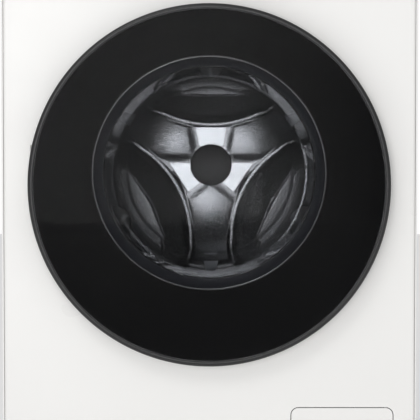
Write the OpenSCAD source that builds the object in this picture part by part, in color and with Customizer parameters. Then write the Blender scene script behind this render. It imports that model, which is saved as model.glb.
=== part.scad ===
// Front load washing machine: a white sheet steel cabinet with a large round door, a horizontal
// drum in a sprung tub, a direct drive motor, a dispenser drawer and a drain pump.
// Millimetres, +Z up, and the door faces -Y. The origin is on the floor, under the middle of the
// whole machine. Depths, named d, run backwards from the outer face of the front panel.

/* [Cabinet] */
// Width over the side panels
body_w = 600; // [598:1:604]
// Height from the floor to the top of the worktop
body_h = 850; // [848:1:860]
// Depth from the front panel to the back panel
body_d = 560; // [558:1:580]
// Thickness of the sheet steel
sheet = 1.2; // [1:0.1:1.5]
// Height of the cabinet's lower edge above the floor
ground_gap = 20; // [18:1:22]

/* [Door] */
// Outer radius of the door ring
door_r = 260; // [258:0.5:261]
// Height of the door ring's centre above the floor
door_z = 450; // [448:1:452]
// How far the middle of the cover glass stands in front of the front panel
door_crown = 40; // [39:0.5:44]
// Radius of the clear window in the door
window_r = 168; // [165:1:170]
// Depth of the glass bowl behind the front panel's face
bowl_depth = 128; // [116:1:130]

/* [Drum and tub] */
// Height of the drum's axis above the floor
axis_z = 468; // [466:1:470]
// Inner radius of the drum
drum_r = 245; // [242:1:246]
// Outer radius of the tub
tub_r = 268; // [267:1:269]
// Height of the lifters above the drum wall
lifter_h = 60; // [50:1:64]

/* [Controls] */
// Width of the dispenser drawer's front
drawer_w = 190; // [184:1:192]
// Radius of the programme dial
dial_r = 30; // [26:1:32]

/* [Hidden] */
$fn = 96;

WHITE = "#EFEEEC";
STEEL = "#B9BCC0";
ZINC = "#A7ABAF";
DARK = "#1C1C1E";
GREY = "#6E7277";
PLASTIC = "#DDE1E5";

// The door's crown is the front-most point and the water inlet the rear-most one
inlet_out = 14;
front_y = door_crown - (body_d + inlet_out + door_crown) / 2;
half_w = body_w / 2;
play = 0.05;

// Cabinet levels
top_t = 14;
top_z = body_h - top_t;
fascia_z = top_z - 97;
panel_z0 = ground_gap + 2;
panel_z1 = fascia_z - 2;
panel_w = body_w - 5;
face_z = (fascia_z + top_z) / 2;
back_d = body_d - sheet;
flange_w = 16;
return_d = 20;
inner_w = half_w - flange_w - 1;

// Front panel openings
dish_r = 204;
dish_d = 8;
mouth_r = 182;
collar_d = 28;
flap_x = [119, 266];
flap_z = [44, 126];
flap_mid = [(flap_x[0] + flap_x[1]) / 2, (flap_z[0] + flap_z[1]) / 2];
flap_gap = 1.2;
pivot_z = flap_z[0] + 4.5;
pivot_d = 4.5;
pivot_r = 2;

// Door, as heights in front of the front panel
door_back = 4;
rim_h = 34;
rim_in = door_r - 7;
cover_r = rim_in - 0.3;
cover_t = 4;
cover_sag = 7.5;
seat_h = door_crown - cover_sag - cover_t;
bowl_t = 5;
bowl_lip = 7;
bowl_rim_r = 156;
bowl_slope = 0.26;
bowl_clamp_r = 174;
grip_half = 62;
grip_in = 225;
strap_h = 15.4;

// Door hinge and latch
hinge_x = -(door_r - 8);
hinge_h = 18;
hinge_pin_r = 3;
knuckle_r = 5;
pocket_half = 48;
pocket_x = -214;
pocket_h = 26.6;
hook_x = 216;
hook_h = 10;
hook_pin_r = 2;

// Tub, drum and drive, as depths
tub_t = 3;
tub_d0 = 84;
tub_seam = 250;
tub_d1 = 456;
seam_r = 277;
seam_bolt_r = 272.4;
heater_x = 22;
heater_z = axis_z - 255;
neck_r = 178;
drum_t = 1;
drum_d0 = 97;
drum_d1 = 424;
drum_mouth_r = 172;
pad_d = 405;
pad_r = 168;
bay_r = 134;
bay_at = 204;
boss_r = 83;
boss_d = 411;
hub_cap_r = 34;
shaft_r = 15;
shaft_tail_r = 12.5;
seal_d = [452, 460];
bearing_d = [462.5, 481.5];
bearing_r = 36;
tail_bearing_d = [486, 503];
tail_bearing_r = 31;
hub_d1 = 504;
rotor_d1 = 511;
lifter_turns = [30, 150, 270];      // as angles of on_axis(), where 270 is straight up
arm_turns = [90, 210, 330];

// Suspension
spring_x = 226;
hang_d = 300;
spring_z = [646, top_z - 30];
strut_foot = [185, 72];
strut_head = [115, 208];
strut_len = norm(strut_head - strut_foot);
strut_tilt = atan2(strut_foot[0] - strut_head[0], strut_head[1] - strut_foot[1]);
strut_tube = 96;

// Services
drawer_h = 76;
drawer_x = -half_w + 17 + drawer_w / 2;
drawer_z = fascia_z + 11;
tray_w = drawer_w - 16;
tray_d = [15, 246];
tray_h = 62;
box_w = drawer_w - 6;
box_d1 = 262;
box_z = drawer_z - 2;
pour = [-150, 215];
hose_z = 706;
screen_x = 146;
screen = [170, 38];
button_x = 264;
button_z = [face_z + 17, face_z - 17];
button_r = 9;
pump_x = flap_mid[0];
pump_z = 88;
sump = [60, 110];
sump_z = 160;
valve_x = -190;
valve_z = top_z - 32;
valve_pitch = 14;
drain_x = 262;
drain_z = top_z - 54;
hose_r = 11;
hose_rise_d = 516;
cord_at = [-240, 700];
transit = [190, 160];
rib_z = [130, 235, 690];
foot_x = half_w - 38;
foot_d = [44, body_d - 44];
stud_r = 5;

// ------------------------------------------------------------- shared shapes

function arc(x, y, r, a0, a1, n = 6) =
    [for (i = [0:n]) let (a = a0 + (a1 - a0) * i / n) [x + r * cos(a), y + r * sin(a)]];

function rounded(w, h, r) = concat(
    arc(w / 2 - r, h / 2 - r, r, 0, 90), arc(r - w / 2, h / 2 - r, r, 90, 180),
    arc(r - w / 2, r - h / 2, r, 180, 270), arc(w / 2 - r, r - h / 2, r, 270, 360));

// Extrudes an outline drawn in X and Z, from depth d0 to d1
module slab(d0, d1) {
    translate([0, front_y + d1, 0]) rotate([90, 0, 0]) linear_extrude(d1 - d0) children();
}

// Extrudes an outline drawn in depth and Z, from x0 to x1
module side_slab(x0, x1) {
    translate([x0, front_y, 0]) rotate([90, 0, 90]) linear_extrude(x1 - x0) children();
}

// Extrudes an outline drawn in X and depth, from z0 to z1
module floor_slab(z0, z1) {
    translate([0, front_y, z0]) linear_extrude(z1 - z0) children();
}

// Turns local +Z backwards and local +Y downwards, from depth d at x and z
module on_axis(d = 0, x = 0, z = axis_z) {
    translate([x, front_y + d, z]) rotate([-90, 0, 0]) children();
}

module rod(r, d0, d1, x = 0, z = axis_z) {
    on_axis(d0, x, z) cylinder(r = r, h = d1 - d0);
}

module post(r, x, d, z0, z1) {
    translate([x, front_y + d, z0]) cylinder(r = r, h = z1 - z0);
}

module cross_rod(r, x0, x1, d, z) {
    translate([x0, front_y + d, z]) rotate([0, 90, 0]) cylinder(r = r, h = x1 - x0);
}

module block(x0, x1, d0, d1, z0, z1) {
    translate([x0, front_y + d0, z0]) cube([x1 - x0, d1 - d0, z1 - z0]);
}

module tube(r, wall, h) {
    difference() {
        cylinder(r = r, h = h);
        translate([0, 0, -1]) cylinder(r = r - wall, h = h + 2);
    }
}

module both_sides() {
    children();
    mirror([1, 0, 0]) children();
}

// A sheet face with rounded vertical edges and a return along each side
module bent_face(z0, z1, t, back) {
    r = 4;
    floor_slab(z0, z1) intersection() {
        translate([0, back]) difference() {
            polygon(rounded(panel_w, 2 * back, r));
            polygon(rounded(panel_w - 2 * t, 2 * (back - t), r - t / 2));
        }
        translate([-half_w, -1]) square([body_w, back + 1]);
    }
}

module cross_head(r, h) {
    difference() {
        cylinder(r1 = r, r2 = r * 0.7, h = h);
        for (a = [0, 90]) rotate([0, 0, a]) translate([-r * 0.5, -r * 0.1, h / 2]) cube([r, r * 0.2, h]);
    }
}

// Rubber bellows along +Z: n folds between two plain cuffs
module bellows(r_in, r_out, h, n, cuff) {
    t = 2.5;
    step = (h - 2 * cuff) / (2 * n);
    wave = [for (i = [0:2 * n]) [i % 2 == 0 ? r_in : r_out - t, cuff + step * i]];
    rotate_extrude() polygon(concat(
        [[r_in, 0]], wave, [[r_in, h], [r_in + t, h]],
        [for (i = [2 * n:-1:0]) wave[i] + [t, 0]], [[r_in + t, 0]]));
}

// A quarter of a bent round bar, from heading +X to heading +Y, starting at the origin
module quarter_bar(r, turn) {
    translate([0, turn, 0]) rotate([0, 0, -90]) rotate_extrude(angle = 90)
        translate([turn, 0]) circle(r);
}

// Two ears along the depth and a pin across them
module clevis(x, z, z0, z1, pin_r) {
    for (d = [hang_d - 14, hang_d + 10]) block(x - 9, x + 9, d, d + 4, z0, z1);
    rod(pin_r, hang_d - 12, hang_d + 12, x, z);
}

// ------------------------------------------------------------- cabinet

module side_panel() {
    mid = [body_d / 2 + 6, (top_z + ground_gap) / 2];
    recess = [body_d - 170, top_z - ground_gap - 240];
    d1 = back_d - 0.2;
    difference() {
        union() {
            block(half_w - sheet, half_w, 3, d1, ground_gap, top_z - 0.5);
            for (d = [22, d1 - sheet])
                block(half_w - flange_w, half_w - sheet / 2, d, d + sheet, ground_gap, top_z - 0.5);
            side_slab(half_w - sheet - 3, half_w - sheet / 2) translate(mid)
                polygon(rounded(recess[0] + 2, recess[1] + 2, 41));
        }
        side_slab(half_w - 3, half_w + 1) translate(mid) polygon(rounded(recess[0], recess[1], 40));
    }
}

module side_panel_left() color(WHITE) mirror([1, 0, 0]) side_panel();
module side_panel_right() color(WHITE) side_panel();

// Pressed dish and collar round the mouth, where the door seal is held
module mouth_dish() {
    on_axis() rotate_extrude() polygon([
        [dish_r + 1, 0], [dish_r + 1, sheet], [dish_r - 6, dish_d + sheet],
        [mouth_r + 5, dish_d + sheet], [mouth_r + sheet, dish_d + 5],
        [mouth_r + sheet, collar_d], [mouth_r, collar_d], [mouth_r, dish_d + 3],
        [mouth_r + 4, dish_d], [dish_r - 8, dish_d], [dish_r, 0]]);
}

// Rounded at the top, and nearly square at the bottom, where the open flap passes the sheet
module flap_outline(grow = 0) {
    w = (flap_x[1] - flap_x[0]) / 2 + grow;
    h = (flap_z[1] - flap_z[0]) / 2 + grow;
    r = 10 + grow;
    low_r = 1.5 + grow;
    translate(flap_mid) polygon(concat(
        arc(w - r, h - r, r, 0, 90), arc(r - w, h - r, r, 90, 180),
        arc(low_r - w, low_r - h, low_r, 180, 270), arc(w - low_r, low_r - h, low_r, 270, 360)));
}

module front_panel() color(WHITE) {
    difference() {
        bent_face(panel_z0, panel_z1, sheet, return_d);
        rod(dish_r + 0.5, -1, 3);
        slab(-1, 3) flap_outline(flap_gap);
        translate([0, 0, -1]) slab(-1, 3) flap_outline(flap_gap);
        slab(-1, 3) translate([hook_x + 1, axis_z]) square([18, 18], center = true);
    }
    mouth_dish();
    // lugs behind the sheet that hold the filter flap's pivots
    for (x = [flap_x[0] - 9, flap_x[1] + 2]) difference() {
        block(x, x + 7, sheet, 10, pivot_z - 6, pivot_z + 6);
        cross_rod(pivot_r + play, x - 1, x + 8, pivot_d, pivot_z);
    }
}

module back_panel() color(ZINC) difference() {
    union() {
        slab(back_d, body_d) translate([0, (top_z + panel_z0) / 2])
            polygon(rounded(body_w - 12, top_z - panel_z0 - 3, 6));
        for (z = rib_z) slab(back_d - 3, back_d + sheet / 2) translate([0, z])
            polygon(rounded(340, 24, 11));
    }
    for (z = rib_z) slab(back_d - 3 + sheet, body_d + 1) translate([0, z])
        polygon(rounded(337.6, 21.6, 9.8));
    rod(150, back_d - 5, body_d + 1);
    for (x = [-1, 1], z = [-1, 1])
        rod(7, back_d - 5, body_d + 1, transit[0] * x, axis_z + transit[1] * z);
    rod(15, back_d - 5, body_d + 1, valve_x, valve_z);
    rod(hose_r + 1, back_d - 5, body_d + 1, drain_x, drain_z);
    rod(9, back_d - 5, body_d + 1, cord_at[0], cord_at[1]);
}

// Pressed cover over the motor, with cooling slots
module rear_cover() color(WHITE) difference() {
    on_axis(body_d) rotate_extrude() polygon([
        [0, 7], [140, 7], [150, 0], [168, 0], [168, sheet], [151, sheet],
        [141, 7 + sheet], [0, 7 + sheet]]);
    for (i = [-3:3]) slab(body_d + 5, body_d + 10) translate([0, axis_z + 24 * i])
        polygon(rounded(150, 7, 3.4));
}

module top_plate() color(WHITE) difference() {
    floor_slab(top_z, body_h) translate([0, body_d / 2]) polygon(rounded(body_w, body_d, 5));
    floor_slab(top_z - 1, top_z + 4) translate([0, body_d / 2])
        polygon(rounded(body_w - 60, body_d - 60, 20));
}

module base_pan() color(GREY) difference() {
    union() {
        difference() {
            block(-inner_w, inner_w, 24, back_d - 4, ground_gap, ground_gap + 34);
            block(3 - inner_w, inner_w - 3, 27, back_d - 7, ground_gap + 3, ground_gap + 40);
        }
        for (x = [-foot_x, foot_x], d = foot_d) post(16, x, d, ground_gap, ground_gap + 30);
        for (x = [-150, -75, 0, 75])
            block(x - 1.5, x + 1.5, 26, back_d - 6, ground_gap + 2, ground_gap + 16);
        both_sides() clevis(strut_foot[0], strut_foot[1], ground_gap + 2, strut_foot[1] + 9, 5);
    }
    for (x = [-foot_x, foot_x], d = foot_d) post(stud_r + play, x, d, ground_gap - 1, ground_gap + 31);
}

// Hangers at the top of the side walls, with a pin for each spring
module spring_brackets() color(ZINC) both_sides() {
    clevis(spring_x, spring_z[1], spring_z[1] - 10, top_z - 6, 4);
    block(spring_x - 9, inner_w, hang_d - 14, hang_d + 14, top_z - 6, top_z - 3);
    block(inner_w - 3, inner_w, hang_d - 60, hang_d + 60, spring_z[1] - 20, top_z - 3);
}

// Screws of the panels and the lock nuts of the feet
module cabinet_fasteners() color(STEEL) {
    for (x = [-1, 1], z = [150, 430, 790]) on_axis(body_d, 288 * x, z) cross_head(4.5, 2.5);
    for (i = [0:5]) on_axis(body_d + sheet) rotate([0, 0, 60 * i]) translate([159.5, 0, 0])
        cross_head(4, 2.2);
    for (x = [-foot_x, foot_x], d = foot_d) difference() {
        translate([x, front_y + d, ground_gap - 5]) cylinder(r = 9.5, h = 5, $fn = 6);
        post(stud_r + play, x, d, ground_gap - 6, ground_gap + 1);
    }
}

// ------------------------------------------------------------- controls

module control_panel() color(WHITE) difference() {
    union() {
        bent_face(fascia_z, top_z - 1, 2.6, return_d);
        block(3 - panel_w / 2, panel_w / 2 - 3, 2, return_d, fascia_z, fascia_z + 2.6);
        on_axis(-1.5, 0, face_z) cylinder(r = dial_r + 4, h = 3);
    }
    block(drawer_x - drawer_w / 2 - 0.8, drawer_x + drawer_w / 2 + 0.8, -1, 30,
        drawer_z - 0.8, drawer_z + drawer_h + 0.8);
    rod(6, -5, 5, 0, face_z);
    slab(-1, 1.6) translate([screen_x, face_z]) polygon(rounded(screen[0] + 0.6, screen[1] + 0.6, 5.3));
    slab(-1, 5) translate([screen_x, face_z]) polygon(rounded(screen[0] - 12, screen[1] - 10, 2));
    for (z = button_z) rod(button_r + 0.4, -1, 5, button_x, z);
}

module display_window() color(DARK)
    slab(-0.2, 1.6) translate([screen_x, face_z]) polygon(rounded(screen[0], screen[1], 5));

// Circuit board with the display block, two switches and the dial's encoder
module control_board() color("#2E5A3C") {
    slab(20, 21.6) translate([128, face_z]) polygon(rounded(312, 62, 3));
    block(screen_x - 70, screen_x + 70, 6, 20, face_z - 12, face_z + 12);
    for (z = button_z) block(button_x - 6, button_x + 6, 12, 20, z - 6, z + 6);
    difference() {
        rod(11, 10, 20, 0, face_z);
        rod(3 + play, 9, 18, 0, face_z);
    }
}

module program_dial() color(STEEL) {
    on_axis(-20, 0, face_z) rotate_extrude() polygon(concat(
        [[0, 1.2], [dial_r - 7, 1.2], [dial_r - 5, 0]],
        arc(dial_r - 3.5, 3.5, 3.5, -90, 0),
        [[dial_r + 1.5, 15], [dial_r + 1.5, 17.5], [0, 17.5]]));
    rod(5, -3, 6, 0, face_z);
    rod(3, 5, 17, 0, face_z);
}

module push_button(z) {
    on_axis(-1, button_x, z) rotate_extrude() polygon([
        [0, 0.5], [button_r - 2, 0.5], [button_r - 1.2, 0], [button_r, 0.8], [button_r, 6],
        [button_r + 1.4, 6], [button_r + 1.4, 7.4], [0, 7.4]]);
    rod(2.5, 6, 9, button_x, z);
}

module power_button() color(STEEL) push_button(button_z[0]);
module start_button() color(STEEL) push_button(button_z[1]);

// Drawer front with a finger scoop under its lower edge
module drawer_front() color(WHITE) difference() {
    slab(0, 15) translate([drawer_x, drawer_z + drawer_h / 2]) polygon(rounded(drawer_w, drawer_h, 5));
    slab(3, 20) translate([drawer_x, drawer_z + drawer_h / 2 + 8])
        polygon(rounded(drawer_w - 6, drawer_h - 24, 3));
    cross_rod(12, drawer_x - drawer_w / 2 + 20, drawer_x + drawer_w / 2 - 20, 8, drawer_z - 3);
}

module tray_cup(x0, x1, d0, d1) {
    block(x0, x1, d0, d1, drawer_z + 6, drawer_z + 6 + tray_h);
}

// Tray with a main wash cup, a prewash cup and a softener cup behind them
module drawer_tray() color(PLASTIC) {
    x0 = drawer_x - tray_w / 2;
    x1 = drawer_x + tray_w / 2;
    difference() {
        block(x0, x1, tray_d[0], tray_d[1], drawer_z + 4, drawer_z + 4 + tray_h);
        tray_cup(x0 + 2, drawer_x + 18, tray_d[0] + 2, tray_d[1] - 60);
        tray_cup(drawer_x + 20, x1 - 2, tray_d[0] + 2, tray_d[1] - 60);
        tray_cup(x0 + 2, x1 - 2, tray_d[1] - 58, tray_d[1] - 2);
    }
    translate([drawer_x, front_y + tray_d[1] - 30, drawer_z + 5]) tube(5, 2, 40);
}

// Siphon cap over the softener cup
module softener_cover() color("#4F7FB5") difference() {
    union() {
        block(drawer_x - tray_w / 2 + 3, drawer_x + tray_w / 2 - 3, tray_d[1] - 57, tray_d[1] - 3,
            drawer_z + tray_h - 6, drawer_z + tray_h - 4);
        post(8, drawer_x, tray_d[1] - 30, drawer_z + 10, drawer_z + tray_h - 5);
    }
    post(6.2, drawer_x, tray_d[1] - 30, drawer_z + 9, drawer_z + tray_h - 7);
    block(drawer_x + 30, drawer_x + 60, tray_d[1] - 45, tray_d[1] - 15, drawer_z + 40, drawer_z + 70);
}

module dispenser_housing() color(PLASTIC) {
    x0 = drawer_x - box_w / 2;
    x1 = drawer_x + box_w / 2;
    difference() {
        union() {
            block(x0, x1, 38, box_d1, box_z, top_z - 3);
            post(15, pour[0], pour[1], box_z - 20, box_z + 1);
            for (s = [-1, 1]) rod(5.4, box_d1 - 1, box_d1 + 16, valve_x + valve_pitch * s, valve_z);
        }
        block(x0 + 2.5, x1 - 2.5, 37, box_d1 - 2.5, box_z + 2.5, top_z - 6);
        post(12, pour[0], pour[1], box_z - 21, box_z + 10);
        for (s = [-1, 1]) rod(3.4, box_d1 - 10, box_d1 + 17, valve_x + valve_pitch * s, valve_z);
    }
}

// ------------------------------------------------------------- water in and out

// Double solenoid valve with a threaded inlet at the back
module inlet_valve() color("#C9CDD2") difference() {
    union() {
        block(valve_x - 26, valve_x + 26, body_d - 34, back_d - 3.5, valve_z - 18, valve_z + 18);
        for (s = [-1, 1]) {
            rod(5.4, body_d - 50, body_d - 33, valve_x + valve_pitch * s, valve_z);
            post(9, valve_x + valve_pitch * s, body_d - 22, valve_z + 17, valve_z + 27);
        }
        rod(14.5, body_d - 6, body_d, valve_x, valve_z);
        rod(13.2, body_d - 1, body_d + inlet_out, valve_x, valve_z);
    }
    rod(9, body_d - 14, body_d + inlet_out + 1, valve_x, valve_z);
    for (s = [-1, 1]) rod(3.4, body_d - 51, body_d - 20, valve_x + valve_pitch * s, valve_z);
}

module inlet_hoses() color(DARK)
    for (s = [-1, 1]) on_axis(box_d1 + 2, valve_x + valve_pitch * s, valve_z)
        tube(8.5, 8.5 - 5.4 - play, body_d - 36 - box_d1);

// Pump with the filter's socket in front, the motor behind and one pipe on each side
module drain_pump() color(GREY) difference() {
    union() {
        rod(33, 18, 136, pump_x, pump_z);
        rod(27, 135, 172, pump_x, pump_z);
        cross_rod(20, pump_x - 60, pump_x - 20, sump[1], pump_z);
        cross_rod(10, pump_x + 20, pump_x + 50, sump[1], pump_z);
        block(pump_x - 26, pump_x + 26, 40, 130, ground_gap + 3, pump_z - 25);
    }
    rod(29, 17, 132, pump_x, pump_z);
    cross_rod(17, pump_x - 61, pump_x - 20, sump[1], pump_z);
    cross_rod(7.5, pump_x + 20, pump_x + 51, sump[1], pump_z);
}

// Strainer basket behind a cap with a grip bar
module pump_filter() color("#3A6EA5") difference() {
    union() {
        rod(28.5, 17, 84, pump_x, pump_z);
        rod(31.5, 13.5, 17.5, pump_x, pump_z);
        block(pump_x - 24, pump_x + 24, 6, 14, pump_z - 4, pump_z + 4);
    }
    rod(26, 34, 85, pump_x, pump_z);
    for (i = [0:3]) on_axis(42, pump_x, pump_z) rotate([0, 0, 45 * i + 22.5])
        translate([-40, -5, 0]) cube([80, 10, 34]);
}

// Round bar along the drain route, with ball corners, longer by extra at both ends
module drain_run(r, extra) {
    x0 = pump_x + 52;
    y0 = front_y + sump[1];
    y1 = front_y + hose_rise_d;
    translate([x0 - extra, y0, pump_z]) rotate([0, 90, 0]) cylinder(r = r, h = drain_x - x0 + extra);
    translate([drain_x, y0, pump_z]) rotate([-90, 0, 0]) cylinder(r = r, h = y1 - y0);
    translate([drain_x, y1, pump_z]) cylinder(r = r, h = drain_z - pump_z);
    rod(r, hose_rise_d, body_d + 12 + extra, drain_x, drain_z);
    for (end = [[y0, pump_z], [y1, pump_z], [y1, drain_z]])
        translate([drain_x, end[0], end[1]]) sphere(r);
}

// Pipe from the pump along the floor and up the back to a collared outlet
module drain_hose() color("#8B9095") difference() {
    union() {
        drain_run(hose_r, 0);
        rod(hose_r + 0.8, body_d - 14, body_d, drain_x, drain_z);
    }
    drain_run(hose_r - 3, 1);
}

module cord_gland() color(DARK) on_axis(back_d - 8, cord_at[0], cord_at[1]) difference() {
    union() {
        cylinder(r = 8.8, h = 12);
        translate([0, 0, 9.2]) cylinder(r = 13, h = 4);
        translate([0, 0, 9.2]) cylinder(r1 = 10, r2 = 7, h = 12);
    }
    translate([0, 0, -1]) cylinder(r = 4, h = 30);
}

// ------------------------------------------------------------- door

// Fixed leaf: a plate on the front panel, two swan-necked lugs and the pin
module door_hinge() color(STEEL) {
    x0 = hinge_x + 2;
    block(x0, pocket_x - 4, -2, 0, axis_z - 45, axis_z + 45);
    for (z = [axis_z - 40, axis_z + 22]) {
        block(hinge_x + 12, hinge_x + 28, -hinge_h - 4, -1, z, z + 18);
        block(hinge_x, hinge_x + 20, -hinge_h - 4, -hinge_h + 4, z, z + 18);
        translate([hinge_x, front_y - hinge_h, z]) cylinder(r = knuckle_r, h = 18);
    }
    translate([hinge_x, front_y - hinge_h, axis_z - 40]) cylinder(r = hinge_pin_r, h = 80);
    for (z = [-31, 0, 31]) on_axis(-2, hinge_x + 20 + (z == 0 ? 0 : 13), axis_z + z)
        mirror([0, 0, 1]) cylinder(r = 3.4, h = 1.4);
}

// Moving leaf: the middle knuckle and a strap that runs into the door frame
module hinge_arm() color(STEEL) difference() {
    union() {
        translate([hinge_x, front_y - hinge_h, axis_z - 21.5]) cylinder(r = knuckle_r, h = 43);
        block(hinge_x, pocket_x + 32, -strap_h - 5, -strap_h, axis_z - 15, axis_z + 15);
    }
    translate([hinge_x, front_y - hinge_h, axis_z - 25]) cylinder(r = hinge_pin_r + play, h = 50);
}

// Pocket that the hinge and the fingers need, cut from the back of the door
module hinge_pocket(x1, h1) {
    block(-door_r - 2, x1, -h1, 0, axis_z - pocket_half, axis_z + pocket_half);
}

module grip_pocket(x0, h1, grow) {
    block(x0, door_r + 2, -h1, 0, door_z - grip_half - grow, door_z + grip_half + grow);
}

module door_ring() color("#3A3A3D") difference() {
    on_axis(0, 0, door_z) rotate_extrude($fn = 180) polygon(concat(
        [[door_r - 3.5, -door_back], [door_r - 3.5, -seat_h + 3.4], [door_r - 13, -seat_h + 3.4],
            [door_r - 13, -seat_h], [rim_in, -seat_h], [rim_in, -rim_h + 1]],
        arc(rim_in + 1, -rim_h + 1, 1, 180, 270, 3),
        arc(door_r - 4, -rim_h + 4, 4, 270, 360, 6),
        [[door_r, -door_back - 1], [door_r - 1, -door_back]]));
    hinge_pocket(pocket_x, pocket_h);
    grip_pocket(grip_in, seat_h - 8, 0);
}

// Domed smoked glass over the whole door
module door_cover() color("#2A2C30") {
    ball_r = (pow(cover_r, 2) + pow(cover_sag, 2)) / (2 * cover_sag);
    n = 12;
    radii = [for (i = [0:n]) cover_r * i / n];
    on_axis(0, 0, door_z) rotate_extrude($fn = 180) polygon(concat(
        [for (r = radii) [r, pow(r, 2) / (2 * ball_r) - door_crown]],
        [for (i = [n:-1:0]) [radii[i], pow(radii[i], 2) / (2 * ball_r) - door_crown + cover_t]]));
}

// Ribbed inner frame that holds the bowl and carries the hinge arm and the hook
module door_frame() color(DARK) difference() {
    union() {
        difference() {
            rod(door_r - 4, -door_back - 3, -door_back, 0, door_z);
            rod(bowl_clamp_r + 0.5, -20, 0);
        }
        on_axis(-seat_h + 4, 0, door_z) tube(door_r - 4, 3, seat_h - 4 - door_back);
        on_axis(-seat_h) tube(bowl_clamp_r + 3.5, 3, seat_h - door_back);
        difference() {
            rod(bowl_clamp_r + 3.5, -seat_h, -bowl_lip - bowl_t - 0.1);
            rod(window_r, -seat_h - 1, 0);
        }
        difference() {
            intersection() {
                block(-door_r, pocket_x + 3, -seat_h, -door_back, axis_z - 51, axis_z + 51);
                rod(rim_in - 7, -40, 0, 0, door_z);
            }
            rod(bowl_clamp_r + 3, -40, 0);
        }
        block(pocket_x + 2, pocket_x + 34, -seat_h, -door_back, axis_z - 19, axis_z + 19);
        block(grip_in - 3, door_r - 14, -seat_h + 4, -door_back,
            door_z - grip_half - 3, door_z + grip_half + 3);
        block(hook_x - 10, grip_in - 2, -seat_h + 4, -door_back, axis_z - 16, axis_z + 16);
    }
    hinge_pocket(pocket_x, pocket_h);
    block(pocket_x - 1, pocket_x + 32.2, -strap_h - 5.1, 0, axis_z - 15.2, axis_z + 15.2);
    grip_pocket(grip_in, seat_h - 7, 0);
    block(hook_x - 8, hook_x + 8, -hook_h - 6, 0, axis_z - 7, axis_z + 7);
    translate([hook_x, front_y - hook_h, axis_z - 13]) cylinder(r = hook_pin_r + play, h = 26);
    rod(bowl_clamp_r + 0.5, -bowl_lip - bowl_t - 0.1, 0);
    difference() {
        rod(door_r + 10, -60, 10, 0, door_z);
        rod(door_r - 4, -61, 11, 0, door_z);
    }
}

// Clear bowl: a flange in the frame and a tapering wall that reaches into the drum
module door_bowl() color("#9FB0BA") {
    base_r = bowl_rim_r - bowl_slope * (bowl_depth - 26);
    on_axis() rotate_extrude($fn = 120) polygon(concat(
        [[bowl_rim_r - bowl_t, -bowl_lip - bowl_t], [bowl_clamp_r, -bowl_lip - bowl_t],
            [bowl_clamp_r, -bowl_lip], [bowl_rim_r + 2, -bowl_lip], [bowl_rim_r, -bowl_lip + 3]],
        arc(base_r - 26, bowl_depth - 30, 26, 10, 82),
        [[0, bowl_depth], [0, bowl_depth - bowl_t]],
        arc(base_r - 26, bowl_depth - 30, 26 - bowl_t, 82, 10),
        [[bowl_rim_r - bowl_t, -bowl_lip]]));
}

// Spring hook on its own pin, which the lock catches
module door_hook() color(STEEL) {
    translate([hook_x, front_y - hook_h, axis_z - 12]) cylinder(r = hook_pin_r, h = 24);
    translate([hook_x, front_y - hook_h, axis_z - 5]) cylinder(r = 5, h = 10);
    block(hook_x - 3, hook_x + 3, -hook_h, 18, axis_z - 5, axis_z + 5);
    floor_slab(axis_z - 5, axis_z + 5) polygon([
        [hook_x - 7, 12], [hook_x + 2, 12], [hook_x + 2, 19.5], [hook_x - 1, 19.5], [hook_x - 7, 14.5]]);
}

// Lock box behind the front panel, open towards the hook
module door_lock() color(GREY) difference() {
    block(hook_x - 14, hook_x + 18, 1.4, 40, axis_z - 30, axis_z + 30);
    block(hook_x - 10.6, hook_x + 12.6, 0, 25, axis_z - 8.5, axis_z + 8.5);
    // clearance round the pressed dish
    rod(dish_r + 1.5, 0, dish_d + sheet + 0.3);
}

// ------------------------------------------------------------- tub

module seam_holes() {
    for (i = [0:15]) on_axis(tub_seam - 8) rotate([0, 0, 22.5 * i + 11.25]) translate([seam_bolt_r, 0, 0])
        cylinder(r = 2.6, h = 16);
}

module tub_front() color("#CFD3D6") difference() {
    union() {
        rod(tub_r, tub_d0, tub_seam);
        rod(seam_r, tub_seam - 6, tub_seam);
        rod(neck_r, 62, tub_d0 + 1);
        post(20, sump[0], sump[1], sump_z, sump_z + 60);
        post(14, pour[0], pour[1], 660, hose_z + 8);
    }
    rod(tub_r - tub_t, tub_d0 + tub_t, tub_seam + 1);
    rod(neck_r - 3, 61, tub_d0 + 5);
    post(17, sump[0], sump[1], sump_z - 1, sump_z + 80);
    post(11, pour[0], pour[1], 640, hose_z + 9);
    seam_holes();
}

module tub_rear() color("#CFD3D6") difference() {
    union() {
        rod(tub_r, tub_seam, tub_d1);
        rod(seam_r, tub_seam, tub_seam + 6);
        rod(50, seal_d[0], hub_d1);
        for (i = [0:11]) on_axis(tub_d1 - 1) rotate([0, 0, 30 * i + 15])
            translate([48, -2.5, 0]) cube([206, 5, 19]);
        on_axis(tub_d1 - 1) tube(258, 5, 19);
        on_axis(tub_d1 - 1) tube(160, 4, 19);
        both_sides() {
            clevis(spring_x, spring_z[0], 580, spring_z[0] + 9, 4);
            clevis(strut_head[0], strut_head[1], strut_head[1] - 9, 260, 5);
        }
    }
    rod(tub_r - tub_t, tub_seam - 1, tub_d1 - 4);
    rod(shaft_r + 4, seal_d[0] - 5, hub_d1 - 1);
    rod(25, seal_d[0] - 5, seal_d[1]);
    rod(bearing_r, seal_d[1], bearing_d[1]);
    rod(tail_bearing_r, tail_bearing_d[0], hub_d1 + 1);
    for (x = [-heater_x, heater_x]) rod(4.2, tub_d1 - 10, tub_d1 + 20, x, heater_z);
    seam_holes();
}

module tub_screws() color(STEEL)
    for (i = [0:15]) on_axis(0) rotate([0, 0, 22.5 * i + 11.25]) translate([seam_bolt_r, 0, tub_seam - 10]) {
        cylinder(r = 4.4, h = 4, $fn = 6);
        translate([0, 0, 2]) cylinder(r = 2.5, h = 15);
    }

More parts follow.
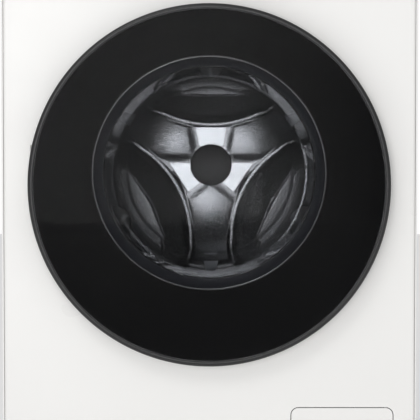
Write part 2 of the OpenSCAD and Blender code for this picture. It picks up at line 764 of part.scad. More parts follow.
// Two concrete arcs round the tub's mouth, apart at the sides
module counterweights() color("#8E8C87") difference() {
    on_axis(32) tube(262, 62, tub_d0 - 32);
    block(-half_w, half_w, 0, 100, axis_z - 76, axis_z + 76);
}

module ball_bearing(r_in, r_out, d) {
    w = d[1] - d[0];
    on_axis(d[0]) rotate_extrude() polygon([
        [r_in, 0], [r_in + 4, 0], [r_in + 4, 1], [r_out - 4, 1], [r_out - 4, 0], [r_out, 0],
        [r_out, w], [r_out - 4, w], [r_out - 4, w - 1], [r_in + 4, w - 1], [r_in + 4, w], [r_in, w]]);
}

module bearings() color(STEEL) {
    ball_bearing(shaft_r + play, bearing_r, bearing_d);
    ball_bearing(shaft_tail_r + play, tail_bearing_r, tail_bearing_d);
}

module shaft_seal() color(DARK) on_axis(seal_d[0]) rotate_extrude() polygon([
    [shaft_r + play, 2], [shaft_r + 2, 0], [25, 0], [25, 8], [20, 8], [20, 4], [shaft_r + play, 4]]);

// Ring of wound teeth on the tub's hub
module stator() color("#A8683A") on_axis(tub_d1 + 18) difference() {
    union() {
        cylinder(r = 86, h = 24);
        for (i = [0:23]) rotate([0, 0, 15 * i]) {
            translate([84, -6, 2]) cube([32, 12, 20]);
            translate([115, -8, 0]) cube([4, 16, 24]);
        }
    }
    translate([0, 0, -1]) cylinder(r = 50.2, h = 30);
}

module heater() color(STEEL) {
    for (x = [-heater_x, heater_x]) rod(4, 146, tub_d1 + 16, x, heater_z);
    cross_rod(4, -heater_x, heater_x, 150, heater_z);
}

// ------------------------------------------------------------- drum

module drum_shell() color(STEEL) on_axis() rotate_extrude($fn = 180) polygon([
    [drum_mouth_r, 91], [drum_mouth_r + drum_t, 91], [drum_mouth_r + drum_t, drum_d0 - 1],
    [drum_r - 4, drum_d0 - 1], [drum_r + drum_t, drum_d0 + 4], [drum_r + drum_t, drum_d1],
    [drum_r, drum_d1], [drum_r, drum_d0 + 4.5], [drum_r - 4.5, drum_d0], [drum_mouth_r, drum_d0]]);

// Outline of the three-armed pad: a disc with a round bay cut in below each lifter
module pad_outline(inset) {
    difference() {
        circle(pad_r - inset);
        for (a = lifter_turns) rotate(a) translate([bay_at, 0]) circle(bay_r + inset);
    }
}

// Round boss inside each bay, cut off at the drum wall
module boss_outline(inset) {
    intersection() {
        circle(drum_r - 6 - inset);
        for (a = lifter_turns) rotate(a) translate([bay_at, 0]) circle(boss_r - inset);
    }
}

module drum_back() color(STEEL) on_axis(drum_d1) difference() {
    union() {
        cylinder(r = drum_r + drum_t, h = 1.2);
        translate([0, 0, pad_d - drum_d1]) linear_extrude(drum_d1 - pad_d + 1) pad_outline(0);
        translate([0, 0, boss_d - drum_d1]) linear_extrude(drum_d1 - boss_d + 1) boss_outline(0);
        translate([0, 0, pad_d - 3 - drum_d1]) cylinder(r = hub_cap_r + 10, h = 5);
    }
    translate([0, 0, pad_d - drum_d1 + 1.2]) linear_extrude(drum_d1 - pad_d + 2) pad_outline(1.2);
    translate([0, 0, boss_d - drum_d1 + 1.2]) linear_extrude(drum_d1 - boss_d + 2) boss_outline(1.2);
}

// One paddle along the drum wall, drawn smaller by inset all round
module paddle(inset) {
    tip = drum_r - lifter_h;
    nose = 13;
    intersection() {
        linear_extrude(600) polygon(concat([[drum_r + 9, inset - 44], [drum_r - 14, inset - 36]],
            arc(tip + nose, 0, nose - inset, 250, 110, 8),
            [[drum_r - 14, 36 - inset], [drum_r + 9, 44 - inset]]));
        rotate([90, 0, 0]) linear_extrude(100, center = true) polygon([
            [drum_r + 9, 112 + inset], [drum_r + 9, 398 - inset], [tip + 6, 392 - inset],
            [tip, 384 - inset], [tip, 160], [tip + 8, 140 + inset], [drum_r - 6, 112 + inset]]);
    }
}

// Three hollow paddles pressed from sheet
module lifters() color(STEEL) on_axis() intersection() {
    for (a = lifter_turns) rotate([0, 0, a]) difference() {
        paddle(0);
        paddle(1.6);
    }
    translate([0, 0, 50]) cylinder(r = drum_r - 0.1, h = 400, $fn = 180);
}

module hub_cap() color("#4A4B4F") on_axis(pad_d - 3) rotate_extrude() polygon([
    [0, -7], [20, -6.4], [30, -4.4], [hub_cap_r, -1.4], [hub_cap_r, 0], [0, 0]]);

// Three-armed casting on the back of the drum, with the shaft pressed in
module spider_shaft() color(ZINC) {
    on_axis(drum_d1 + 1.2) {
        for (a = arm_turns) rotate([0, 0, a]) linear_extrude(20) polygon([
            [10, -24], [10, 24], [238, 11], [238, -11]]);
        cylinder(r = 36, h = 22);
    }
    rod(shaft_r, drum_d1 + 10, bearing_d[1] + 2);
    rod(shaft_tail_r, bearing_d[1], rotor_d1);
    rod(9, rotor_d1 - 1, 524);
}

// Magnet cup on the tail of the shaft, with its nut
module rotor() color(ZINC) {
    on_axis() rotate_extrude() polygon([
        [shaft_tail_r + play, hub_d1 + 1], [22, hub_d1 + 1], [26, rotor_d1 - 3],
        [131, rotor_d1 - 3], [131, 503], [122, 503], [122, 480], [134, 480],
        [134, rotor_d1], [shaft_tail_r + play, rotor_d1]]);
    difference() {
        on_axis(rotor_d1) cylinder(r = 17, h = 8, $fn = 6);
        rod(9 + play, rotor_d1 - 1, rotor_d1 + 9);
    }
}

// ------------------------------------------------------------- suspension, seals, flap, feet

module gasket() color("#8A8D92") on_axis() rotate_extrude($fn = 120) polygon([
    [158, 2], [mouth_r - 0.4, 2], [mouth_r - 0.4, collar_d + 2], [172, 38], [185, 48],
    [neck_r + 3.4, 56], [neck_r + 3.4, 78], [neck_r + 0.4, 78], [neck_r + 0.4, 54], [181, 48],
    [168, 38], [mouth_r - 4, 28], [mouth_r - 4, 6], [164, 6], [161, 12], [157, 12]]);

module dispenser_hose() color(DARK)
    translate([pour[0], front_y + pour[1], hose_z]) bellows(15.4, 21, box_z - 12 - hose_z, 2, 8);

// Bellows from the sump, then a quarter bend onto the pump's inlet
module sump_hose() color(DARK) {
    turn = 34;
    r = 20.4;
    x1 = sump[0] + turn;
    translate([sump[0], front_y + sump[1], pump_z + turn])
        bellows(r, 27, sump_z + 8 - pump_z - turn, 2, 10);
    translate([x1, front_y + sump[1], pump_z]) difference() {
        union() {
            rotate([90, 0, 180]) quarter_bar(r + 2.5, turn);
            rotate([0, 90, 0]) cylinder(r = r + 2.5, h = pump_x - 46 - x1);
        }
        rotate([90, 0, 180]) quarter_bar(r, turn);
        rotate([0, 90, 0]) cylinder(r = r, h = pump_x - 45 - x1);
    }
}

// A coil's outer shape, with a hooked eye round the pin at each end
module spring_body() {
    r = 13;
    length = spring_z[1] - spring_z[0] - 40;
    translate([spring_x, front_y + hang_d, spring_z[0] + 20]) difference() {
        cylinder(r = r, h = length);
        translate([0, 0, 4]) cylinder(r = r - 4, h = length - 8);
    }
    for (z = spring_z) on_axis(hang_d, spring_x, z) rotate_extrude($fn = 40)
        translate([6.5, 0]) circle(1.8);
    post(1.8, spring_x, hang_d, spring_z[0] + 6, spring_z[0] + 21);
    post(1.8, spring_x, hang_d, spring_z[1] - 21, spring_z[1] - 6);
}

module suspension_springs() color(ZINC) both_sides() spring_body();

// Frame of one shock absorber: origin at its lower pivot, +Z towards its upper one
module strut_frame() {
    translate([strut_foot[0], front_y + hang_d, strut_foot[1]]) rotate([0, -strut_tilt, 0]) children();
}

module strut_eye(at) {
    translate([0, 9, at]) rotate([90, 0, 0]) cylinder(r = 10, h = 18);
}

module damper_tube() strut_frame() difference() {
    union() {
        strut_eye(0);
        translate([0, 0, 15]) cylinder(r = 13, h = strut_tube - 15);
        cylinder(r = 8, h = 16);
    }
    translate([0, 10, 0]) rotate([90, 0, 0]) cylinder(r = 5 + play, h = 20);
    translate([0, 0, 20]) cylinder(r = 8 + play, h = strut_tube);
}

// The upper eye is 1 mm wide of its pin, so the strut can follow the tub
module damper_rod() strut_frame() difference() {
    union() {
        strut_eye(strut_len);
        translate([0, 0, 36]) cylinder(r = 8, h = strut_len - 40);
    }
    translate([0, 10, strut_len]) rotate([90, 0, 0]) cylinder(r = 6, h = 20);
}

module damper_tube_left() color(DARK) mirror([1, 0, 0]) damper_tube();
module damper_tube_right() color(DARK) damper_tube();
module damper_rod_left() color(STEEL) mirror([1, 0, 0]) damper_rod();
module damper_rod_right() color(STEEL) damper_rod();

module filter_flap() color(WHITE) {
    slab(0, 2.4) flap_outline();
    cross_rod(4, flap_x[0] + 12, flap_x[1] - 12, pivot_d, pivot_z);
    cross_rod(pivot_r, flap_x[0] - 8, flap_x[1] + 8, pivot_d, pivot_z);
    for (x = [flap_x[0] + 24, flap_x[1] - 30]) block(x, x + 6, 2, 7, flap_z[1] - 14, flap_z[1] - 4);
}

module foot(x, d) {
    post(20, x, d, 0, 6);
    translate([x, front_y + d, 6]) cylinder(r1 = 20, r2 = 12, h = 3);
    translate([x, front_y + d, 8]) cylinder(r = 11, h = 5, $fn = 6);
    post(stud_r, x, d, 10, ground_gap + 29);
}

module foot_front_left() color(STEEL) foot(-foot_x, foot_d[0]);
module foot_front_right() color(STEEL) foot(foot_x, foot_d[0]);
module foot_back_left() color(STEEL) foot(-foot_x, foot_d[1]);
module foot_back_right() color(STEEL) foot(foot_x, foot_d[1]);

side_panel_left();
side_panel_right();
front_panel();
back_panel();
rear_cover();
top_plate();
base_pan();
spring_brackets();
control_panel();
display_window();
control_board();
dispenser_housing();
inlet_valve();
inlet_hoses();
drain_pump();
drain_hose();
door_hinge();
door_lock();
cord_gland();
cabinet_fasteners();
gasket();
dispenser_hose();
sump_hose();
suspension_springs();
program_dial();
power_button();
start_button();
drawer_front();
drawer_tray();
softener_cover();
foot_front_left();
foot_front_right();
foot_back_left();
foot_back_right();
filter_flap();
pump_filter();
damper_tube_left();
damper_rod_left();
damper_tube_right();
damper_rod_right();
tub_front();
tub_rear();
tub_screws();
counterweights();
bearings();
shaft_seal();
stator();
heater();
drum_shell();
drum_back();
lifters();
hub_cap();
spider_shaft();
rotor();
door_ring();
door_cover();
door_frame();
door_bowl();
hinge_arm();
door_hook();
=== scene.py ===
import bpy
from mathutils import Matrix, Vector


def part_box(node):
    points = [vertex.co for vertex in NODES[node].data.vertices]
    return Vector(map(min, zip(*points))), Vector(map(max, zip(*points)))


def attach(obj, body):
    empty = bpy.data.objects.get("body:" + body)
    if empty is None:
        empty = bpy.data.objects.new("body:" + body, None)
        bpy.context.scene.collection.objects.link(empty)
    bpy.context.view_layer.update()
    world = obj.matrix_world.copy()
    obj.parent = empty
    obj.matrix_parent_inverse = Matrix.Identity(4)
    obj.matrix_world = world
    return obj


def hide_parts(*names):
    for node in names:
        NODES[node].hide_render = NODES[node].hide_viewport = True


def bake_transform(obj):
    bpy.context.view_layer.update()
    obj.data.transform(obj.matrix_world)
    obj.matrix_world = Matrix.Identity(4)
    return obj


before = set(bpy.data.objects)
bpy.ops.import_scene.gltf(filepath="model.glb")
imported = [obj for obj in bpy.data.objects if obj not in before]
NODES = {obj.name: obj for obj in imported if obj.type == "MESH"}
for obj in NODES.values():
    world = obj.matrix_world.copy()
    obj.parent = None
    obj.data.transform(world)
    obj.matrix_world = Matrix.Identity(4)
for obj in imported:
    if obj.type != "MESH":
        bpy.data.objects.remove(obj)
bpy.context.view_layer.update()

import math
import bpy
import bmesh
from mathutils import Vector

# Front load washing machine. Metres, +Z up, the door faces -Y. Depths, named d, run backwards from
# the outer face of the front panel. Radii in a profile are measured from the axis it is turned about.

MM = 0.001


def middle(node):
    """Centre of a node's box."""
    low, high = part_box(node)
    return (low + high) / 2


def depths(node):
    """Depths of the front and the back of a node."""
    low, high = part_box(node)
    return low.y - FRONT, high.y - FRONT


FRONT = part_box("front_panel")[0].y
AXIS = (middle("hub_cap").x, middle("hub_cap").z)
DOOR = (middle("door_ring").x, middle("door_ring").z)
DOOR_R = (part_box("door_ring")[1].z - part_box("door_ring")[0].z) / 2
RIM_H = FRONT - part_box("door_ring")[0].y
GLASS_R = (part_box("door_cover")[1].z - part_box("door_cover")[0].z) / 2
GLASS_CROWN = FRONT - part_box("door_cover")[0].y
WINDOW_R = 168 * MM
DRUM_R = (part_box("drum_shell")[1].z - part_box("drum_shell")[0].z) / 2
DRUM_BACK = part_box("drum_shell")[1].y - FRONT


# ---------- meshes

def mesh_object(name, verts, faces):
    """A plain mesh object in the scene."""
    mesh = bpy.data.meshes.new(name)
    mesh.from_pydata([tuple(v) for v in verts], [], faces)
    thing = bpy.data.objects.new(name, mesh)
    bpy.context.scene.collection.objects.link(thing)
    return thing


def add_piece(name, verts, faces, material, body, replaced=(), sharp=35):
    """A mesh object with smooth faces, sharp where they meet at more than `sharp` degrees."""
    piece = mesh_object(name, verts, faces)
    mesh = piece.data
    tidy = bmesh.new()
    tidy.from_mesh(mesh)
    bmesh.ops.remove_doubles(tidy, verts=tidy.verts, dist=0.01 * MM)
    bmesh.ops.delete(tidy, geom=[edge for edge in tidy.edges if not edge.link_faces], context="EDGES")
    bmesh.ops.recalc_face_normals(tidy, faces=tidy.faces)
    tidy.to_mesh(mesh)
    tidy.free()
    mesh.polygons.foreach_set("use_smooth", [True] * len(mesh.polygons))
    mesh.set_sharp_from_angle(angle=math.radians(sharp))
    mesh.materials.append(material)
    if body:
        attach(piece, body)
    if replaced:
        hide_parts(*replaced)
    return piece


def apply_modifiers(piece):
    """Turns the object's modifiers into its own mesh."""
    bpy.context.view_layer.update()
    shaped = piece.evaluated_get(bpy.context.evaluated_depsgraph_get())
    mesh = bpy.data.meshes.new_from_object(shaped)
    piece.modifiers.clear()
    piece.data = mesh


def thicken(piece, thickness, offset=0):
    """Gives a sheet its thickness, equally to both sides unless offset is 1 or -1."""
    sheet = piece.modifiers.new("sheet", "SOLIDIFY")
    sheet.thickness = thickness
    sheet.offset = offset
    apply_modifiers(piece)


def cut(piece, cutters):
    """Subtracts closed meshes, given as (verts, faces), from the piece."""
    for verts, faces in cutters:
        tool = mesh_object("cutter", verts, faces)
        mesh = tool.data
        step = piece.modifiers.new("cut", "BOOLEAN")
        step.operation = "DIFFERENCE"
        step.object = tool
        apply_modifiers(piece)
        bpy.data.objects.remove(tool)
        bpy.data.meshes.remove(mesh)
    piece.data.set_sharp_from_angle(angle=math.radians(35))


def block_mesh(x0, x1, y0, y1, z0, z1):
    """A plain block, used only as a cutter."""
    verts = [(x, y, z) for x in (x0, x1) for y in (y0, y1) for z in (z0, z1)]
    return verts, [(0, 1, 3, 2), (4, 6, 7, 5), (0, 4, 5, 1), (2, 3, 7, 6), (0, 2, 6, 4), (1, 5, 7, 3)]


def turned_mesh(profile, centre, steps=180, closed=True):
    """A profile of (radius, depth) turned about the line along Y through centre."""
    verts = []
    faces = []
    count = len(profile)
    for i in range(steps):
        angle = 2 * math.pi * i / steps
        for r, d in profile:
            verts.append((centre[0] + r * math.sin(angle), FRONT + d, centre[1] + r * math.cos(angle)))
    for i in range(steps):
        here = i * count
        there = (i + 1) % steps * count
        for k in range(count if closed else count - 1):
            after = (k + 1) % count
            faces.append((here + k, here + after, there + after, there + k))
    return verts, faces


def turned(name, profile, centre, material, body, replaced=(), steps=180, closed=True, sharp=35):
    """A turned mesh as a piece."""
    verts, faces = turned_mesh(profile, centre, steps, closed)
    return add_piece(name, verts, faces, material, body, replaced, sharp)


def curve_points(x, y, r, start, end, count=6):
    """Points of an arc from start to end, in degrees."""
    turns = [math.radians(start + (end - start) * i / count) for i in range(count + 1)]
    return [(x + r * math.cos(a), y + r * math.sin(a)) for a in turns]


def rounded_outline(w, h, r, centre=(0, 0), count=8):
    """A rectangle with rounded corners, count steps to each corner."""
    corners = [(w / 2 - r, h / 2 - r, 0), (r - w / 2, h / 2 - r, 90),
               (r - w / 2, r - h / 2, 180), (w / 2 - r, r - h / 2, 270)]
    points = []
    for x, z, start in corners:
        points += curve_points(centre[0] + x, centre[1] + z, r, start, start + 90, count)
    return points


def ring_faces(rings, count):
    """Faces that join each ring of count points to the next."""
    faces = []
    for k in range(rings - 1):
        for i in range(count):
            j = (i + 1) % count
            faces.append((k * count + i, k * count + j, (k + 1) * count + j, (k + 1) * count + i))
    return faces


def inset_rings(outline, levels):
    """The outline once for each (inset, level), as (across, along, level)."""
    cx = sum(p[0] for p in outline) / len(outline)
    cy = sum(p[1] for p in outline) / len(outline)
    half_w = max(abs(p[0] - cx) for p in outline)
    half_l = max(abs(p[1] - cy) for p in outline)
    points = []
    for inset, level in levels:
        share_w = 1 - inset / half_w
        share_l = 1 - inset / half_l
        for x, y in outline:
            points.append((cx + (x - cx) * share_w, cy + (y - cy) * share_l, level))
    return points


def plate_mesh(outline, d0, d1, edge=0.0, segments=4):
    """An outline in X and Z as a plate from depth d0 to d1, its front edge rounded by edge."""
    count = len(outline)
    rings = [(0, d0)]
    if edge:
        turns = [math.pi / 2 * i / segments for i in range(segments + 1)]
        rings = [(edge * (1 - math.sin(a)), d0 + edge * (1 - math.cos(a))) for a in turns]
    rings.append((0, d1))
    verts = [(x, FRONT + d, z) for x, z, d in inset_rings(outline, rings)]
    faces = [tuple(range(count)), tuple(reversed(range(len(verts) - count, len(verts))))]
    return verts, faces + ring_faces(len(rings), count)


def swept_mesh(points, radii, sides=12):
    """A closed tube with flat ends along points, with one radius for each point."""
    points = [Vector(p) for p in points]
    verts = []
    heading = (points[1] - points[0]).normalized()
    side = heading.orthogonal().normalized()
    for i, point in enumerate(points):
        ahead = points[min(i + 1, len(points) - 1)]
        behind = points[max(i - 1, 0)]
        heading = (ahead - behind).normalized()
        side = (side - heading * side.dot(heading)).normalized()
        other = heading.cross(side)
        for k in range(sides):
            a = 2 * math.pi * k / sides
            verts.append(point + (side * math.cos(a) + other * math.sin(a)) * radii[i])
    ends = [tuple(reversed(range(sides))), tuple(range(len(verts) - sides, len(verts)))]
    return verts, ring_faces(len(points), sides) + ends


def upright_mesh(profile, x, y, steps=64):
    """A closed profile of (radius, z) turned about the upright line through x and y."""
    verts, faces = turned_mesh(profile, (0, 0), steps)
    return [(x + vx, y + vz, vy - FRONT) for vx, vy, vz in verts], faces


def stack_mesh(outline, levels):
    """An outline in X and Y carried up through levels of (inset, z), and closed at both ends."""
    count = len(outline)
    verts = inset_rings(outline, levels)
    faces = [tuple(range(count)), tuple(range(len(verts) - count, len(verts)))]
    return verts, faces + ring_faces(len(levels), count)


def merged(parts):
    """Several (verts, faces) as one."""
    verts = []
    faces = []
    for part_verts, part_faces in parts:
        start = len(verts)
        verts += list(part_verts)
        faces += [tuple(start + i for i in face) for face in part_faces]
    return verts, faces


# ---------- materials

def srgb(r, g, b):
    """A colour given as 0 to 255 on screen, as the shader's linear colour."""
    shares = [value / 255 for value in (r, g, b)]
    linear = [c / 12.92 if c <= 0.0404 else ((c + 0.055) / 1.055) ** 2.4 for c in shares]
    return tuple(linear) + (1.0,)


class Finish:
    """A Principled material with procedural detail placed in the object's own space."""

    def __init__(self, name, **values):
        self.material = bpy.data.materials.new(name)
        self.material.use_nodes = True
        self.nodes = self.material.node_tree.nodes
        self.links = self.material.node_tree.links
        self.shader = self.nodes["Principled BSDF"]
        self.place = self.nodes.new("ShaderNodeTexCoord").outputs["Object"]
        self.height = None
        for socket, value in values.items():
            self.shader.inputs[socket.replace("_", " ")].default_value = value

    def put(self, socket, output):
        self.links.new(output, self.shader.inputs[socket])

    def stretched(self, scale):
        node = self.nodes.new("ShaderNodeMapping")
        node.inputs["Scale"].default_value = scale
        self.links.new(self.place, node.inputs["Vector"])
        return node.outputs["Vector"]

    def noise(self, scale, detail=3.0, stretch=None):
        node = self.nodes.new("ShaderNodeTexNoise")
        node.inputs["Scale"].default_value = scale
        node.inputs["Detail"].default_value = detail
        self.links.new(self.stretched(stretch) if stretch else self.place, node.inputs["Vector"])
        return node.outputs["Fac"]

    def cells(self, scale, output="Distance"):
        node = self.nodes.new("ShaderNodeTexVoronoi")
        node.inputs["Scale"].default_value = scale
        self.links.new(self.place, node.inputs["Vector"])
        return node.outputs[output]

    def bands(self, scale, direction):
        node = self.nodes.new("ShaderNodeTexWave")
        node.bands_direction = direction
        node.inputs["Scale"].default_value = scale
        self.links.new(self.place, node.inputs["Vector"])
        return node.outputs["Fac"]

    def tint(self, socket, output, *stops):
        """Colours (position, colour) along the value, put in the socket."""
        node = self.nodes.new("ShaderNodeValToRGB")
        ramp = node.color_ramp
        while len(ramp.elements) < len(stops):
            ramp.elements.new(0.5)
        for element, (position, colour) in zip(ramp.elements, stops):
            element.position = position
            element.color = colour
        self.links.new(output, node.inputs["Fac"])
        self.put(socket, node.outputs["Color"])

    def spread(self, socket, output, low, high, source=(0.3, 0.7)):
        node = self.nodes.new("ShaderNodeMapRange")
        for name, value in zip(("From Min", "From Max", "To Min", "To Max"), source + (low, high)):
            node.inputs[name].default_value = value
        self.links.new(output, node.inputs["Value"])
        self.put(socket, node.outputs["Result"])

    def relief(self, output, depth):
        """Adds a bump that is depth metres from its lowest to its highest."""
        node = self.nodes.new("ShaderNodeBump")
        node.inputs["Distance"].default_value = depth
        self.links.new(output, node.inputs["Height"])
        if self.height:
            self.links.new(self.height, node.inputs["Normal"])
        self.height = node.outputs["Normal"]
        self.put("Normal", self.height)


def slot_name(material):
    """A material's name without the number that a repeated name gets."""
    return material.name.split(".")[0]


def shade(colour, share):
    """The colour made darker or lighter."""
    return tuple(c * share for c in colour[:3]) + (1.0,)


def painted(name, colour, rough=0.3):
    """Baked enamel on sheet: orange peel, and a little dust that dulls it unevenly."""
    f = Finish(name, IOR=1.5)
    f.tint("Base Color", f.noise(6), (0.3, shade(colour, 0.985)), (0.7, colour))
    f.spread("Roughness", f.noise(9, 3), rough - 0.03, rough + 0.04)
    f.relief(f.noise(420, 2), 0.006 * MM)
    return f.material


def moulded(name, colour, rough=0.4, grain=1500, depth=0.02, cloud=0.94, **values):
    """Injection moulded plastic with a spark-eroded grain."""
    f = Finish(name, **values)
    f.tint("Base Color", f.noise(18, 4), (0.3, shade(colour, cloud)), (0.7, colour))
    f.spread("Roughness", f.noise(130, 3), rough - 0.06, rough + 0.06)
    f.relief(f.noise(grain, 2), depth * MM)
    return f.material


def rubber(name, colour, rough=0.62):
    """Moulded rubber with a faint bloom and a fine pitted skin."""
    f = Finish(name, IOR=1.52)
    f.tint("Base Color", f.noise(30, 5), (0.3, shade(colour, 0.82)), (0.62, colour),
           (0.75, shade(colour, 1.25)))
    f.spread("Roughness", f.noise(90, 4), rough - 0.1, rough + 0.1)
    f.relief(f.cells(900), 0.03 * MM)
    f.relief(f.noise(2600, 2), 0.015 * MM)
    return f.material


def galvanised(name, colour, size=120):
    """Zinc coated sheet: crystals of slightly different grey, each with its own gloss."""
    f = Finish(name, Metallic=1.0)
    f.tint("Base Color", f.cells(size, "Color"), (0.0, shade(colour, 0.8)), (0.5, colour),
           (1.0, shade(colour, 1.15)))
    f.spread("Roughness", f.cells(size, "Color"), 0.34, 0.52, (0.0, 1.0))
    f.relief(f.cells(size), 0.02 * MM)
    f.relief(f.noise(700, 3), 0.01 * MM)
    return f.material


def steel(name, colour, rough=0.22, stretch=(60, 60, 900), depth=0.004):
    """Drawn or rolled steel with fine lines along one direction."""
    f = Finish(name, Metallic=1.0)
    f.tint("Base Color", f.noise(25, 4), (0.3, shade(colour, 0.93)), (0.7, colour))
    f.spread("Roughness", f.noise(1, 4, stretch), rough - 0.05, rough + 0.07)
    f.relief(f.noise(1, 3, stretch), depth * MM)
    return f.material


def cast(name, colour, rough=0.5):
    """Die-cast metal: a sandy skin with soft flow marks."""
    f = Finish(name, Metallic=1.0)
    f.tint("Base Color", f.noise(40, 6), (0.3, shade(colour, 0.75)), (0.7, colour))
    f.spread("Roughness", f.noise(160, 4), rough - 0.1, rough + 0.12)
    f.relief(f.noise(900, 4), 0.08 * MM)
    return f.material


def concrete(name):
    """Poured weight: grey cement with sand grains and air holes."""
    f = Finish(name, Specular_IOR_Level=0.3)
    f.tint("Base Color", f.noise(60, 8), (0.3, srgb(112, 109, 103)), (0.55, srgb(146, 143, 137)),
           (0.72, srgb(170, 167, 160)))
    f.spread("Roughness", f.noise(300, 4), 0.75, 0.95)
    f.relief(f.cells(350), 0.35 * MM)
    f.relief(f.noise(900, 5), 0.25 * MM)
    return f.material


def copper(name):
    """Enamelled copper wire laid side by side, with painted shade between wires and painted highlights on
    them.
    """
    f = Finish(name, Metallic=1.0, Coat_Weight=0.6)
    # The colour follows the bump's bands: painted shade in the grooves, painted highlight on the crests.
    f.tint("Base Color", f.bands(420, "Y"), (0.0, srgb(96, 44, 20)), (0.6, srgb(196, 104, 58)),
           (1.0, srgb(226, 140, 92)))
    f.spread("Roughness", f.noise(200, 3), 0.25, 0.4)
    f.relief(f.bands(420, "Y"), 0.3 * MM)
    return f.material


def circuit(name):
    """Solder mask with darker tracks and round joints."""
    f = Finish(name, Coat_Weight=0.4)
    f.tint("Base Color", f.cells(190), (0.0, srgb(188, 190, 180)), (0.12, srgb(188, 190, 180)),
           (0.16, srgb(24, 74, 44)), (0.6, srgb(30, 92, 54)))
    f.spread("Roughness", f.noise(220, 3), 0.25, 0.45)
    f.relief(f.cells(190), 0.3 * MM)
    return f.material


def laminate(name):
    """Worktop laminate: off-white with a pearl speckle."""
    f = Finish(name, IOR=1.5)
    f.tint("Base Color", f.cells(1100, "Color"), (0.0, srgb(224, 223, 220)), (0.5, srgb(240, 239, 236)),
           (1.0, srgb(246, 245, 243)))
    f.spread("Roughness", f.noise(60, 4), 0.36, 0.48)
    f.relief(f.noise(650, 3), 0.04 * MM)
    return f.material


def glass(name, colour, ior, rough):
    """Clear glass with the faint waviness of pressed ware."""
    f = Finish(name, Transmission_Weight=1.0, IOR=ior, Roughness=rough)
    f.tint("Base Color", f.noise(9, 2), (0.3, shade(colour, 0.98)), (0.7, colour))
    f.relief(f.noise(14, 1), 0.04 * MM)
    return f.material


def printed(name, colour):
    """Black print fired on the back of glass: nearly even, with soft traces of the screen."""
    f = Finish(name, Specular_IOR_Level=0.1)
    f.tint("Base Color", f.noise(18, 4), (0.3, shade(colour, 0.9)), (0.7, colour))
    f.spread("Roughness", f.noise(12, 2), 0.56, 0.64)
    f.relief(f.noise(60, 1), 0.001 * MM)
    return f.material


FINISH = {slot_name(material): material for material in (
    painted("white_enamel", srgb(240, 239, 237)),
    laminate("worktop_laminate"),
    moulded("white_plastic", srgb(238, 237, 235), 0.34, cloud=0.985),
    galvanised("zinc_sheet", srgb(176, 180, 184)),
    galvanised("base_steel", srgb(150, 154, 158), 60),
    moulded("black_gloss", srgb(14, 14, 15), 0.1, 900, 0.004, 0.9, Coat_Weight=0.5),
    circuit("circuit_green"),
    moulded("pale_plastic", srgb(206, 211, 214), 0.45, 700, 0.04, 0.93),
    rubber("black_rubber", srgb(30, 30, 32)),
    moulded("grey_plastic", srgb(98, 102, 107), 0.5, 800, 0.04, 0.88),
    galvanised("zinc_steel", srgb(196, 197, 192), 400),
    rubber("grey_rubber", srgb(62, 64, 68), 0.55),
    steel("dial_metal", srgb(206, 208, 212), 0.24, (30, 2000, 30), 0.003),
    moulded("blue_plastic", srgb(52, 98, 158), 0.4, 1100, 0.03, 0.88),
    moulded("black_plastic", srgb(26, 26, 28), 0.42, 1300, 0.03, 0.8),
    concrete("concrete"),
    copper("copper_winding"),
    steel("heater_steel", srgb(150, 138, 128), 0.4, (400, 400, 400), 0.01),
    steel("stainless", srgb(168, 169, 172), 0.24, (40, 1500, 40), 0.001),
    steel("drum_steel", srgb(146, 147, 149), 0.24, (700, 700, 700), 0.001),
    steel("mirror_steel", srgb(196, 197, 198), 0.1, (500, 500, 500), 0.0005),
    steel("lifter_steel", srgb(140, 141, 143), 0.42, (500, 500, 500), 0.001),
    moulded("hub_grey", srgb(50, 50, 51), 0.5, 1200, 0.02, 0.9, Specular_IOR_Level=0.12),
    cast("cast_alloy", srgb(168, 171, 175)),
    moulded("ring_grey", srgb(34, 34, 35), 0.38, 1600, 0.005, 0.92),
    glass("cover_glass", srgb(199, 199, 200), 1.07, 0.0),
    glass("bowl_glass", srgb(234, 236, 238), 1.16, 0.0),
    printed("glass_print", srgb(11, 11, 12)),
    moulded("display_light", srgb(222, 236, 244), 0.4, 900, 0.004, 0.97,
            Emission_Color=srgb(205, 228, 240), Emission_Strength=0.8),
    moulded("slate_trim", srgb(40, 42, 47), 0.35, 1200, 0.01, 0.95),
)}


def finish_cad_nodes():
    """Gives every CAD node the detailed finish of its material slot."""
    for piece in NODES.values():
        for holder in piece.material_slots:
            holder.material = FINISH[slot_name(holder.material)]


finish_cad_nodes()


# ---------- door

